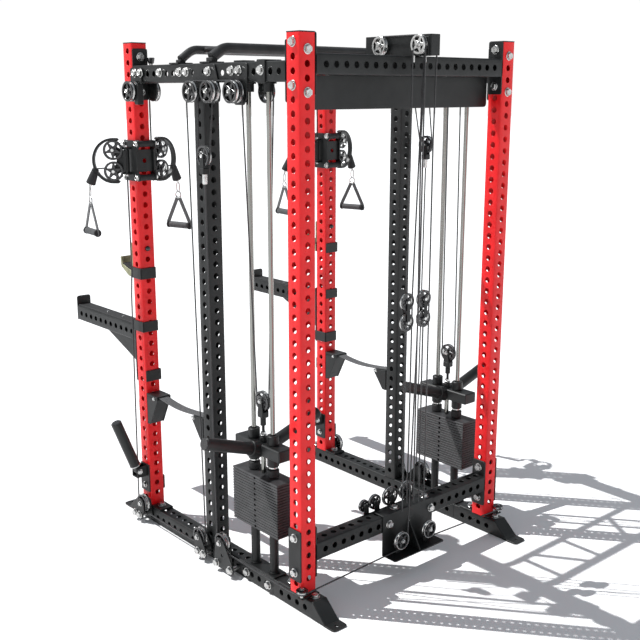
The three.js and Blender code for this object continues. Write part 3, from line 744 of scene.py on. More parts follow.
def bolt(piece, place, axis, size=1.0):
    """A hexagon head on its washer, standing on a face at place."""
    base = 3
    turn = frame_along(axis) * size
    washer = lathe([(0, 0), (18, 0), (19, 1), (19, 2.2), (18, base), (0, base)], 20)
    head = lathe([
        (0, base), (14.8, base), (15.6, base + 1), (15.6, base + 8), (13.6, base + 10.5), (8, base + 10.5),
        (7, base + 9.5), (0, base + 9.5)], 6)
    for solid in (washer, head):
        piece.add(piece.moved(solid, turn, place), STEEL)


PULLEY_SOLIDS = {}
SPOKES = 5


def pulley_solids(radius, width):
    """Grooved rim, five spokes and hub about Z, made once for each size."""
    if (radius, width) in PULLEY_SOLIDS:
        return PULLEY_SOLIDS[radius, width]
    half = width / 2
    groove = lathe([
        (radius - 8.5, -half + 1), (radius - 2.2, -half + 2.4), (radius - 5, -1.6), (radius - 5, 1.6),
        (radius - 2.2, half - 2.4), (radius - 8.5, half - 1), (radius - 8.5, -half + 1)], 40)
    flanges = [lathe([
        (radius - 9.5, side * (half - 1.2)), (radius - 8.5, side * half), (radius - 1.2, side * half),
        (radius, side * (half - 1)), (radius, side * (half - 2)), (radius - 1.5, side * (half - 2.8)),
        (radius - 9.5, side * (half - 3.2)), (radius - 9.5, side * (half - 1.2))], 40) for side in (-1, 1)]
    hub_radius = 0.3 * radius
    hub = lathe([
        (0, -half - 1), (hub_radius - 2, -half - 1), (hub_radius, -half + 1), (hub_radius, half - 1),
        (hub_radius - 2, half + 1), (0, half + 1)], 24)
    solids = [groove, *flanges, hub]
    root, tip = 0.24 * radius, 3
    spoke = [(-root, hub_radius - 4), (root, hub_radius - 4), (tip, radius - 8), (-tip, radius - 8)]
    for number in range(SPOKES):
        blade = plate(spoke, width - 6, (0, 0, -half + 3), X, Y, chamfer=1.2)
        solids.append((blade[0] @ spin(2 * math.pi * number / SPOKES).T, blade[1]))
    PULLEY_SOLIDS[radius, width] = solids
    return solids


def pulley(piece, centre, axis, radius=PULLEY_RADIUS, width=PULLEY_WIDTH, heads=(1, -1), phase=0.0,
           ring_width=0, disc=PLASTIC):
    """A pulley with a bright groove and its axle bolt; heads says on which sides the bolt shows, ring_width
    adds a polished ring on both flanges, and disc is the material of the flanges and spokes."""
    axis, centre = np.asarray(axis, float), np.asarray(centre, float)
    turn = frame_along(axis) @ spin(phase)
    for number, solid in enumerate(pulley_solids(radius, width)):
        piece.add(piece.moved(solid, turn, centre), STEEL if number == 0 else disc)
    if ring_width:
        for side in (-1, 1):
            solid = ring((0, 0, side * width / 2), Z, radius - 1.5 - ring_width, radius - 1.5, 1.6, 0.4, 40)
            piece.add(piece.moved(solid, turn, centre), STEEL)
    for side in heads:
        bolt(piece, centre + side * (width / 2 + 1) * axis, side * axis, 0.5)


def side_plate(piece, outline, x, sign, thickness=PLATE, holes=()):
    """A black plate in the YZ plane that stands out from the face at x."""
    start = x if sign > 0 else x - thickness
    piece.add(plate(outline, thickness, (start, 0, 0), Y, Z, holes), BLACK)


def front_plate(piece, outline, y, thickness=PLATE, holes=()):
    """A black plate in the XZ plane between y and y + thickness."""
    piece.add(plate(outline, thickness, (0, y + thickness, 0), X, Z, holes), BLACK)


def level_plate(piece, outline, z, thickness=PLATE, holes=()):
    """A black plate in the XY plane between z and z + thickness."""
    piece.add(plate(outline, thickness, (0, 0, z), X, Y, holes), BLACK)


def shifted(outline, u, v):
    """The outline moved in its plane."""
    return [(u + a, v + b) for a, b in outline]


def round_rectangle(u0, v0, u1, v1, radius):
    """A rectangle with rounded corners, whichever way u0 and u1 lie."""
    return rounded(rectangle(min(u0, u1), v0, max(u0, u1), v1), radius)


def arc(x, y, z, radius, start, end, steps=10):
    """Points round a pulley in the YZ plane; angles in degrees from +Y towards +Z."""
    angles = np.radians(np.linspace(start, end, steps))
    return [(x, y + radius * math.cos(a), z + radius * math.sin(a)) for a in angles]


def cable(name, body, route, radius=CABLE_RADIUS, replaced=()):
    """A sheathed cable along a route, riding on a body."""
    return Piece(name, body).add(sweep(dense(route), radius), SHEATH).finish(*replaced)


def dense(route, longest=60.0):
    """The route with long stretches cut up into even pieces, none longer than longest."""
    points = [np.asarray(route[0], float)]
    for point in route[1:]:
        point = np.asarray(point, float)
        parts = max(1, math.ceil(np.linalg.norm(point - points[-1]) / longest))
        start = points[-1]
        points += [start + (point - start) * k / parts for k in range(1, parts + 1)]
    return points


# ---- frame ----
ALONG_Y = np.array([X, -Z, Y])
ALONG_X = np.array([Y, Z, X])
UPRIGHT = np.eye(3)
FACE_HOLES_Z = 2193
SIDE_HOLES_Z = 2218


def hole_line(anchor, low, high, skip=()):
    """Hole places on the pitch that passes through anchor and fit between low and high."""
    first = math.ceil((low + PITCH / 2 - anchor) / PITCH)
    last = math.floor((high - PITCH / 2 - anchor) / PITCH)
    places = [anchor + PITCH * k for k in range(first, last + 1)]
    return [p for p in places if all(abs(p - middle) > reach for middle, reach in skip)]


def upright_tube(x, y, high):
    """A tube that stands on the base rail, with holes in all four faces."""
    low = TUBE + GAP
    faces, flanks = hole_line(FACE_HOLES_Z, low, high), hole_line(SIDE_HOLES_Z, low, high)
    rows = {0: flanks, 2: flanks, 1: faces, 3: faces}
    return perforated_tube(low, high, rows, FACE_HOLES_Z, UPRIGHT, (x, y, 0))


def build_uprights():
    high = UPRIGHT_TOP - CAP_THICKNESS
    for side, sign in SIDES:
        x = sign * HALF_WIDTH
        for row, along in (("front", -1), ("rear", 1)):
            name, y = f"{side}_{row}_upright", along * HALF_DEPTH
            Piece(f"{name}_tube").add(upright_tube(x, y, high), RED).finish(name)
            cap = Piece(f"{name}_cap")
            cap.add(block((x, y), (HALF, HALF), high, high + CAP_THICKNESS - 0.2, 1.8), PLASTIC)
            cap.add(block((x, y), (33, 33), high - 18, high, 2), PLASTIC)
            cap.finish()
        name = f"{side}_middle_upright"
        tube = upright_tube(x, MIDDLE_Y, SIDE_BEAM_Z - HALF - GAP)
        Piece(f"{name}_tube").add(tube, BLACK).finish(name)


# plates bolted to a side beam: outline, corner radius and holes
BEAM_PLATES = (
    ([(-544, 2146), (-544, 2030), (-522, 1998), (-486, 1998), (-452, 2060), (-452, 2146)], 14, ()),
    ([(-68, 2060), (-52, 2012), (-20, 2012), (12, 2078), (30, 2090), (62, 2078), (84, 2006), (124, 2006),
      (132, 2050), (98, 2150), (-40, 2150)], 12, [(20, 2122, 9)]),
    ([(178, 2150), (206, 2010), (232, 1996), (282, 1996), (304, 2020), (310, 2150)], 12, ()),
    (rectangle(368, SIDE_BEAM_Z - 42, 416, SIDE_BEAM_Z + 44), 5, ()))
INNER_BEAM_PLATES = (
    ([(-532, 2140), (-532, 2024), (-514, 2004), (-480, 2004), (-462, 2036), (-462, 2140)], 10),
    ([(262, 2140), (262, 2100), (278, 2032), (298, 2032), (314, 2100), (314, 2140)], 8))
BEAM_BOLTS_Y = (-502, -455, -309, -159, -109, 55, 209, 257, 393)
BEAM_FLANK_HOLES_Y = -509
BEAM_LEVEL_HOLES_Y = -484
KNOB_OFFSET = 38
KNOB_Y = -500


def build_top_beams():
    end = BEAM_END - GAP
    for side, sign in SIDES:
        x = sign * HALF_WIDTH
        flank = hole_line(BEAM_FLANK_HOLES_Y, -end, end)
        level = hole_line(BEAM_LEVEL_HOLES_Y, -end, end)
        beam = Piece(f"{side}_top_beam_tube")
        outside, inside_face = (0, 2) if sign > 0 else (2, 0)
        open_holes = {outside: flank, inside_face: [y for y in flank if y < 100], 1: level, 3: level}
        tube = perforated_tube(-end, end, open_holes, BEAM_FLANK_HOLES_Y, ALONG_Y, (x, 0, SIDE_BEAM_Z))
        beam.add(tube, BLACK)
        low, high = SIDE_BEAM_Z - FLANGE_HEIGHT / 2, SIDE_BEAM_Z + FLANGE_HEIGHT / 2
        flange = round_rectangle(x - HALF, low, x + HALF, high, FLANGE_CORNER)
        front_plate(beam, flange, -end)
        front_plate(beam, flange, end - PLATE)
        face = x + sign * HALF
        level_plate(beam, round_rectangle(x - 30, 205, x + 30, 265, 6), SIDE_BEAM_Z + HALF)
        for rod_y in ROD_YS:
            top = SIDE_BEAM_Z - HALF
            beam.add(ring((x, rod_y, top - 18), Z, ROD_RADIUS + 0.5, 22, 36), BLACK)
            beam.add(ring((x, rod_y, top - 3), Z, ROD_RADIUS + 0.5, 30, 6), BLACK)
        for outline, radius, holes in BEAM_PLATES:
            side_plate(beam, rounded(outline, radius), face, sign, holes=holes)
        beam.add(box((x - HALF, 368, 2155.6), (x + HALF, 416, 2161.5), 1.5), BLACK)
        beam.add(box((face, -476, 1990), (face + sign * 30, -446, 2078), 3), BLACK)
        inner = x - sign * HALF
        for outline, radius in INNER_BEAM_PLATES:
            side_plate(beam, rounded(outline, radius), inner, -sign)
        beam.finish(f"{side}_top_beam")
        bolts = Piece(f"{side}_top_beam_bolts")
        for y in BEAM_BOLTS_Y:
            plated = any(min(outline)[0] <= y <= max(outline)[0] for outline, *_ in BEAM_PLATES)
            bolt(bolts, (face + sign * (PLATE if plated else 0), y, SIDE_BEAM_Z + 5), sign * X)
        for y in (-500, 291):
            bolt(bolts, (inner - sign * PLATE, y, SIDE_BEAM_Z + 5), -sign * X)
        for along in (-1, 1):
            for z in (FACE_HOLES_Z, FACE_HOLES_Z - 2 * FLANGE_BOLT):
                bolt(bolts, (x, along * (HALF_DEPTH + HALF), z), along * Y)
                bolt(bolts, (x, along * (end - PLATE), z), -along * Y)
        bolts.finish()
        knob = Piece(f"{side}_beam_knob")
        knob_x = x - sign * KNOB_OFFSET
        knob.add(rod((knob_x, KNOB_Y, 2155), (knob_x, KNOB_Y, 2166), 8), STEEL)
        knob.add(rod((knob_x, KNOB_Y, 2164), (knob_x, KNOB_Y, 2190), 13, 17, 3), PLASTIC)
        knob.finish(slot="pulley_plastic")


TOP_PULLEYS = (
    (-500, OUTER_PULLEY_X), (-500, SECOND_PULLEY_X), (MIDDLE_OUTER_Y, 69), (100, OUTER_PULLEY_X),
    (100, SECOND_PULLEY_X), (REAR_OUTER_Y, OUTER_PULLEY_X), (REAR_OUTER_Y, SECOND_PULLEY_X))


def build_top_pulleys():
    for side, sign in SIDES:
        piece = Piece(f"{side}_top_redirect_pulleys")
        for number, (y, out) in enumerate(TOP_PULLEYS):
            heads = (sign,) if out > OUTER_PULLEY_X else ()
            centre = (sign * (HALF_WIDTH + out), y, TOP_PULLEY_Z)
            pulley(piece, centre, X, heads=heads, phase=0.4 * number)
        piece.finish()
        piece = Piece(f"{side}_inner_redirect_pulleys")
        for y in (FRONT_INNER_Y, REAR_INNER_Y):
            pulley(piece, (sign * (HALF_WIDTH - PIVOT_OFFSET), y, TOP_PULLEY_Z), X, heads=(-sign,))
        piece.finish()


FLOOR_PULLEY = (48, 621, 106)
RAIL_END = 672
RAIL_JOINT = 421
RAIL_FLANK_HOLES_Y = -625
RAIL_TOP_HOLES_Y = -600
# plates on a rail's outer face: outline and corner radius
RAIL_PLATES = (
    ([(-606, 12), (-540, 12), (-518, 40), (-536, 118), (-574, 118), (-606, 46)], 10),
    ([(-92, 12), (-18, 12), (-14, 40), (-46, 122), (-84, 122), (-92, 60)], 9),
    ([(-6, 16), (136, 16), (140, 44), (124, 156), (88, 156), (-6, 52)], 11))
# outer brackets of the low pulleys: outline, where their spacers stand and holes
BASE_BRACKETS = (
    ([(-624, 20), (-545, 18), (-526, 64), (-530, 112), (-556, 126), (-582, 112), (-590, 80), (-624, 54)],
     (-603, -564), ()),
    ([(-84, 20), (-2, 18), (0, 50), (-38, 110), (-65, 128), (-92, 112), (-96, 76)], (-62, -20), ()),
    ([(64, 20), (202, 18), (204, 52), (136, 148), (106, 162), (78, 148), (70, 100)],
     (84, 182), [(124, 84, 8)]))


def build_base_rails():
    end = RAIL_END
    for side, sign in SIDES:
        x = sign * HALF_WIDTH
        flank = hole_line(RAIL_FLANK_HOLES_Y, -end, end)
        uprights = [(-HALF_DEPTH, 62), (MIDDLE_Y, 62), (HALF_DEPTH, 62), (STACK_Y, 116)]
        level = hole_line(RAIL_TOP_HOLES_Y, -end, end, skip=uprights)
        rail = Piece(f"{side}_base_rail_tube")
        for start, stop in ((-end, RAIL_JOINT - 0.8), (RAIL_JOINT + 0.8, end)):
            first = start + 20 if start < 0 else 450
            sides, tops = ([y for y in row if first < y < stop - 20] for row in (flank, level))
            rows = {0: sides, 2: sides, 3: tops}
            rail.add(perforated_tube(start, stop, rows, RAIL_FLANK_HOLES_Y, ALONG_Y, (x, 0, HALF)), BLACK)
        for along in (-1, 1):
            wedge = [(end - 3, 0), (end - 3, TUBE), (end + 2, TUBE), (748, 8), (748, 0)]
            outline = rounded([(along * y, z) for y, z in wedge], 2, 2)
            rail.add(plate(outline, TUBE, (x - HALF, 0, 0), Y, Z, chamfer=3), BLACK)
            tab = rectangle(x - HALF, along * 740, x + HALF, along * 799.5)
            level_plate(rail, rounded(tab, [0, 0, 16, 16]), 0.2, 7.6, holes=[(x, along * 775, 8)])
            rail.add(box((x - HALF, along * 532, TUBE - 1), (x + HALF, along * 455, TUBE + 8), 2), BLACK)
        face = x + sign * HALF
        for outline, radius in RAIL_PLATES:
            side_plate(rail, rounded(outline, radius), face, sign)
        outboard = x + sign * (BASE_PULLEY_X + 12)
        for outline, spacers, holes in BASE_BRACKETS:
            side_plate(rail, rounded(outline, 16), outboard, sign, 5, holes=holes)
            for y in spacers:
                rail.add(rod((face, y, HALF), (outboard, y, HALF), 10), STEEL)
        rail.finish(f"{side}_base_rail")
        bolts = Piece(f"{side}_base_rail_bolts")
        for y in (391, 241):
            bolt(bolts, (face, y, HALF), sign * X)
        for _, spacers, _ in BASE_BRACKETS:
            for y in spacers:
                bolt(bolts, (outboard + sign * 5, y, HALF), sign * X)
        for y, z in BASE_PULLEYS:
            bolt(bolts, (outboard + sign * 5, y, z), sign * X, 0.7)
        for along in (-1, 1):
            bolt(bolts, (x, along * 498, TUBE + 8), Z)
            bolt(bolts, (x, along * 645, TUBE), Z)
        bolts.finish()
        piece = Piece(f"{side}_base_redirect_pulleys")
        for number, (y, z) in enumerate(BASE_PULLEYS):
            centre = (sign * (HALF_WIDTH + BASE_PULLEY_X), y, z)
            pulley(piece, centre, X, width=22, heads=(), phase=0.7 * number)
        spot = np.array([x + sign * FLOOR_PULLEY[0], *FLOOR_PULLEY[1:]])
        piece.add(box((x - 34 * sign, 609, TUBE + GAP), (spot[0] + sign * 12, 634, TUBE + 6), 1.5), BLACK)
        piece.add(rod(spot - (0, 0, 26), spot - (0, 0, 8), 9), STEEL)
        pulley(piece, spot, Z, 25, 15, heads=(1,))
        piece.finish()


REAR_FACE_HOLES_X = -475
REAR_TOP_HOLES_X = -450


def build_rear_members():
    end = HALF_WIDTH - HALF - GAP
    for name, z, backed in (
            ("rear_top_crossmember", REAR_BEAM_Z, False), ("rear_lower_crossmember", LOWER_BEAM_Z, True)):
        beam = Piece(f"{name}_tube")
        holes = {0: hole_line(REAR_FACE_HOLES_X, -end, end), 1: hole_line(REAR_TOP_HOLES_X, -end, end)}
        beam.add(perforated_tube(-end, end, holes, REAR_FACE_HOLES_X, ALONG_X, (0, HALF_DEPTH, z)), BLACK)
        bolts = Piece(f"{name}_bolts")
        low, high = z - FLANGE_HEIGHT / 2, z + FLANGE_HEIGHT / 2
        flange = round_rectangle(HALF_DEPTH - HALF, low, HALF_DEPTH + HALF, high, FLANGE_CORNER)
        for _, sign in SIDES:
            side_plate(beam, flange, sign * end, -sign)
            if backed:
                side_plate(beam, flange, sign * (HALF_WIDTH + HALF + GAP), sign)
            out = HALF_WIDTH + HALF + (PLATE if backed else 0)
            for level in (z + FLANGE_BOLT, z - FLANGE_BOLT):
                bolt(bolts, (sign * out, HALF_DEPTH, level), sign * X)
                bolt(bolts, (sign * (end - PLATE), HALF_DEPTH, level), -sign * X)
        beam.finish(name)
        bolts.finish()
    top = REAR_BEAM_Z - HALF - GAP
    header = Piece("header_panel")
    front_plate(header, rounded(rectangle(-513, top - 125, 513, top), [18, 18, 4, 4]), 533, 4)
    header.finish("header_plate")


BAR_LEVEL = 2215
BAR_BEND = 26
FRONT_BAR_Y = -204
REAR_BAR_Y = 20
CROSS_GRIPS = ((445, 445), (382, 241), (155, 155), (-230, -97), (-445, -445))


def bar_line(foot, radius):
    """The bar's middle line in the XZ plane: two sloped legs and a level grip, with bent corners."""
    rise = BAR_LEVEL - foot
    corners = [(-HALF_WIDTH, foot + radius), (-HALF_WIDTH + rise, BAR_LEVEL),
               (HALF_WIDTH - rise, BAR_LEVEL), (HALF_WIDTH, foot + radius)]
    line = [corners[0]]
    for before, corner, after in zip(corners, corners[1:], corners[2:]):
        before, corner, after = map(np.array, (before, corner, after))
        start = corner + (before - corner) / np.linalg.norm(before - corner) * BAR_BEND
        stop = corner + (after - corner) / np.linalg.norm(after - corner) * BAR_BEND
        line += bend(start, corner, stop, 8)
    return line + [corners[-1]]


def build_pull_up_bars():
    """Both bars stand on the side beams; the front one carries the grips that reach back to the rear one."""
    foot = SIDE_BEAM_Z + HALF + GAP
    for name, node, y, radius, grips in (
            ("front_bar", "front_pull_up_bar", FRONT_BAR_Y, 18, CROSS_GRIPS),
            ("rear_bar", "rear_pull_up_bar", REAR_BAR_Y, 22, ())):
        piece = Piece(name)
        piece.add(sweep([(u, y, v) for u, v in bar_line(foot, radius)], radius, 28), BAR)
        for front_x, rear_x in grips:
            rear = (rear_x, REAR_BAR_Y - 23, BAR_LEVEL)
            piece.add(rod((front_x, y, BAR_LEVEL), rear, 14, sides=20), BAR)
        for _, sign in SIDES:
            x = sign * HALF_WIDTH
            piece.add(block((x, y), (HALF, 34), foot, foot + 6, 1.5), BLACK)
            piece.add(block((x, y), (14, radius), foot + 5, foot + radius, 3), BLACK)
        piece.finish(node)


MIDDLE_PULLEYS = ((174, 27), (110, 34), (16, 44), (-87, 44))


MIDDLE_PULLEY_Y = 514
MIDDLE_PULLEY_Z = 309
LAT_BOX_Y = (340, 700)
LAT_BOX_HALF = 22
LAT_BOX_HEIGHT = 79.5
LAT_BOX_WALL = 3
ROW_HALF = 154
ROW_FOOT_Z = 102


def build_lat_box():
    """The hollow arm on the rear crossmember, with the lat pulleys beside it."""
    bottom = REAR_BEAM_Z + HALF + GAP
    top = bottom + LAT_BOX_HEIGHT
    start, end, half, wall = *LAT_BOX_Y, LAT_BOX_HALF, LAT_BOX_WALL
    lat = Piece("lat_box")
    for sign in (1, -1):
        side_plate(lat, round_rectangle(start, bottom, end, top, 3), sign * half, sign, wall)
    lat.add(box((-half - wall, start, top - wall), (half + wall, end, top), 1.2), BLACK)
    lat.add(box((-half, start, bottom), (half, start + wall, top - 2), 0.8), BLACK)
    lat.add(box((-half, end - wall, bottom), (half, end, top - 2), 0.8), BLACK)
    lat.add(box((-half, 668, bottom + 8), (28, 690, top - 8), 2), BLACK)
    for x in (24, -42):
        lat.add(box((x - 34, 607.8, bottom + 1), (x + 4, 612, bottom + 8), 0.8), WHITE)
        lat.add(box((x - 4, 607.8, bottom - 24), (x + 4, 612, bottom + 8), 0.8), WHITE)
    lat.finish("lat_pulley_box")
    pulleys = Piece("lat_pulleys")
    for y in LAT_PULLEY_Y:
        pulley(pulleys, (LAT_PULLEY_X, y, LAT_PULLEY_Z), X, 38, 16, heads=(1,), ring_width=7, disc=STEEL)
    pulley(pulleys, (4 - LAT_PULLEY_X, LAT_PULLEY_Y[1], LAT_PULLEY_Z), X, 34, 14, heads=(-1,))
    pulleys.finish()


def build_row_station():
    """The bracket on the lower crossmember, with the row pulleys and the four pulleys behind it."""
    face = HALF_DEPTH + HALF + GAP
    level = LOWER_BEAM_Z + HALF + GAP
    foot = ROW_FOOT_Z
    row = Piece("row_bracket")
    front_plate(row, rounded(rectangle(-ROW_HALF, foot, ROW_HALF, level + PLATE), [10, 10, 3, 3]), face)
    row.add(box((-ROW_HALF, HALF_DEPTH - 10, level), (ROW_HALF, face + 3, level + PLATE), 1.5), BLACK)
    shelf = rounded(rectangle(-ROW_HALF, face, ROW_HALF, 690), [2, 2, 12, 12])
    level_plate(row, shelf, foot)
    gusset = [(face + 4, foot + 4), (face + 80, foot + 4), (face + 80, foot + 12), (face + 4, level - 40)]
    side_plate(row, rounded(gusset, 3, 3), -3, 1)
    for x in (-ROW_PULLEY_X, ROW_PULLEY_X):
        holder = rounded([(x - 16, foot + 4), (x + 16, foot + 4), (x + 14, 186), (x - 14, 186)], 8)
        front_plate(row, holder, ROW_PULLEY_Y - 21, 5)
        row.add(rod((x, ROW_PULLEY_Y - 18, ROW_PULLEY_Z), (x, ROW_PULLEY_Y, ROW_PULLEY_Z), 9), BLACK)
    for x, _ in MIDDLE_PULLEYS:
        foot_z = level - 60 + (PLATE if abs(x) < ROW_HALF else 0)
        tip_z = MIDDLE_PULLEY_Z + 9
        holder = rounded([(x - 18, foot_z), (x + 18, foot_z), (x + 12, tip_z), (x - 12, tip_z)], 8)
        front_plate(row, holder, MIDDLE_PULLEY_Y + 14, 5)
    row.finish("low_row_bracket")
    pulleys = Piece("row_pulleys")
    for x in (-ROW_PULLEY_X, ROW_PULLEY_X):
        pulley(pulleys, (x, ROW_PULLEY_Y, ROW_PULLEY_Z), Y, 40, 16, heads=(1,), ring_width=2.5)
    for x, radius in MIDDLE_PULLEYS:
        pulley(pulleys, (x, MIDDLE_PULLEY_Y, MIDDLE_PULLEY_Z), Y, radius, 14)
    pulleys.finish()
    bolts = Piece("row_bracket_bolts")
    for x in (118, -141):
        bolt(bolts, (x, face + PLATE, LOWER_BEAM_Z - 2), Y)
    for x in (60, -130):
        bolt(bolts, (x, 585, level + PLATE), Z)
    bolts.finish()


def build_lat_cables():
    """The vertical runs behind the rear crossmembers, with the pulley blocks that hang in them."""
    y = ROW_PLANE_Y
    blocks = Piece("floating_pulley_blocks")
    for x, top_z, low_z in ((88, 1220, 1134), (-12, 1219, 1137)):
        for z in (top_z, low_z):
            pulley(blocks, (x, y, z), Y, 37, 16, heads=(1, -1))
        outline = round_rectangle(x - 9, low_z - 12, x + 9, top_z + 12, 8)
        for offset in (-14, 10.5):
            front_plate(blocks, outline, y + offset, 3.5)
    blocks.finish()
    top = REAR_BEAM_Z + HALF + 20
    rows = (
        ("lat_run_a", [(83, y, top), (88, y, 1220), (88, y, 306)]),
        ("lat_run_b", [(17, y - 3, top), (55, y, 1262), (57, y, 700), (40, 640, 330)]),
        ("lat_run_c", [(17, y + 4, top), (27, y, 1866), (21, y, 1230), (21, y, 330)]),
        ("lat_run_d", [(-12, y, 1137), (-12, y, 320)]),
        ("lat_run_e", [(-52, y, top), (-44, y, 1866), (-45, y, 1230), (-45, y, 320)]))
    for name, route in rows:
        cable(name, "root", route)
    floor_x, floor_y, floor_z = FLOOR_PULLEY
    for side, sign in SIDES:
        start = (sign * ROW_PULLEY_X, y - 2, ROW_PULLEY_Z - 37)
        end = (sign * (HALF_WIDTH + floor_x - 4), floor_y + 23, floor_z)
        cable(f"floor_run_{side}", "root", [start, end])
    x, z, groove = LAT_PULLEY_X, LAT_PULLEY_Z, 35
    near, far = LAT_PULLEY_Y
    over = [(x, near - 30, z + 20)] + arc(x, near, z, groove, 150, 90, 5)
    over += [(x, far, z + groove)] + arc(x, far, z, groove, 85, 0, 9)
    over += [(x, far + 34, 1300), (ROW_PULLEY_X - 37, ROW_PULLEY_Y, ROW_PULLEY_Z)]
    cable("lat_line", "root", over, replaced=("lat_cable",))


# ---- weight stacks ----
ROD_YS = (STACK_Y - ROD_OFFSET, STACK_Y + ROD_OFFSET)


def build_stack(side, sign):
    """The guide rods and the plates that stand on them."""
    x = sign * HALF_WIDTH
    rods = Piece(f"{side}_guide_rod_pair")
    for y in ROD_YS:
        rods.add(rod((x, y, STACK_BOTTOM - 2), (x, y, SIDE_BEAM_Z - HALF - 1), ROD_RADIUS, sides=28), CHROME)
        rods.add(rod((x, y, TUBE + 6), (x, y, STACK_BOTTOM - 0.5), 19, sides=28), BLACK)
        rods.add(ring((x, y, TUBE + 9), Z, 15, 24, 6), BLACK)
    level_plate(rods, round_rectangle(x - 35, STACK_Y - 105, x + 35, STACK_Y + 105, 8), TUBE + GAP)
    rods.finish(f"{side}_guide_rods")

    stack = Piece(f"{side}_stack_plates")
    pitch = (STACK_TOP - STACK_BOTTOM) / STACK_LAYERS
    half = np.array([STACK_HALF_X, STACK_HALF_Y])
    for number in range(STACK_LAYERS):
        low = STACK_BOTTOM + number * pitch
        stack.add(block((x, STACK_Y), half, low, low + pitch - STACK_SEAM, 1.4), IRON)
        if number < STACK_LAYERS - 1:
            stack.add(block((x, STACK_Y), half - 6, low + 3, low + pitch + 2, 0.5), RUBBER)
    stack.finish(f"{side}_weight_stack")
    fittings = Piece(f"{side}_stack_fittings")
    # Painted shade: flat black discs on the plates' faces stand for the pin holes, which the plates do not
    # have.
    for number in range(1, STACK_LAYERS, 2):
        z = STACK_BOTTOM + number * pitch - STACK_SEAM / 2
        for face in (-1, 1):
            start = (x + face * (STACK_HALF_X - 2), STACK_Y, z)
            end = (x + face * (STACK_HALF_X + 0.6), STACK_Y, z)
            fittings.add(rod(start, end, PIN_HOLE, sides=16), SHADOW)
    for y in ROD_YS:
        fittings.add(ring((x, y, STACK_TOP + 17), Z, ROD_RADIUS + 2, 25, 34, 3), RUBBER)
    fittings.finish(slot="pulley_plastic")


def build_carriage(side, sign):
    """The block that slides on the guide rods, with its weight horns and the lifting pulley above it."""
    x = sign * HALF_WIDTH
    carriage = Piece(f"{side}_carriage_body", f"{side}_carriage")
    for y in (STACK_Y - 89, STACK_Y + 89):
        carriage.add(block((x, y), (HALF, 59), CARRIAGE_LOW, CARRIAGE_HIGH, 4), BLACK)
    carriage.add(block((x, STACK_Y), (26, 34), CARRIAGE_LOW + 4, CARRIAGE_HIGH - 4, 3), BLACK)
    for y in ROD_YS:
        carriage.add(ring((x, y, 669), Z, ROD_RADIUS + 1.5, 25, 42, 2.5), BLACK)
        carriage.add(ring((x, y, 578), Z, ROD_RADIUS + 1.5, 25, 42, 2.5), BLACK)
        carriage.add(ring((x, y, 552), Z, ROD_RADIUS + 1.5, 20, 8, 1.5), STEEL)
    for face in (-1, 1):
        way = np.array([face * math.cos(HORN_TILT), 0, math.sin(HORN_TILT)])
        root = np.array([x, STACK_Y, HORN_ROOT_Z])
        carriage.add(rod(root + 18 * way, root + 74 * way, 33, chamfer=3, sides=32), BLACK)
        carriage.add(rod(root + 60 * way, root + 306 * way, 26, chamfer=2, sides=36), BLACK)
        carriage.add(rod(root + 305 * way, root + 310 * way, 24, chamfer=1.5, sides=36), PLASTIC)
    carriage.add(rod((x, STACK_Y, STACK_TOP + 1), (x, STACK_Y, 604), 11), CHROME)
    carriage.add(rod((x, STACK_Y, 640), (x, STACK_Y, 668), 16), BLACK)
    carriage.add(rod((x, STACK_Y, 660), (x, STACK_Y, 742), 6, sides=16), BLACK)
    carriage.add(ring((x, STACK_Y, 676), Z, 6, 15, 3), STEEL)
    nut = lathe([(0, 678), (11, 678), (11, 688), (0, 688)], 6)
    carriage.add(carriage.moved(nut, UPRIGHT, (x, STACK_Y, 0)), STEEL)
    carriage.add(rod((x, STACK_Y, 716), (x, STACK_Y, 754), 12), BLACK)
    carriage.add(block((x, STACK_Y), (17, 19), 750, 778, 4), BLACK)
    for face in (-1, 1):
        outline = rounded([
            (STACK_Y - 17, 760), (STACK_Y + 17, 760), (STACK_Y + 12, 834), (STACK_Y - 12, 834)], 9)
        side_plate(carriage, outline, x + face * 11.5, face, 4.5)
        bolt(carriage, (x + face * 16, STACK_Y, LIFT_PULLEY_Z), face * X, 0.5)
    carriage.finish(f"{side}_carriage")
    lift = Piece(f"{side}_lifting_wheel", f"{side}_lifting_pulley")
    pulley(lift, (x, STACK_Y, LIFT_PULLEY_Z), X, 42, 17, heads=())
    lift.finish(f"{side}_lifting_pulley")


# ---- trolleys, arms and handles ----
# tag, side of the trolley, turn of the arm, turn of the handle from it, side of the arm's plate
ARMS = (
    ("a", 1, math.radians(-41), math.radians(125), -1),
    ("b", -1, math.radians(195.5), math.radians(90), 1),
)


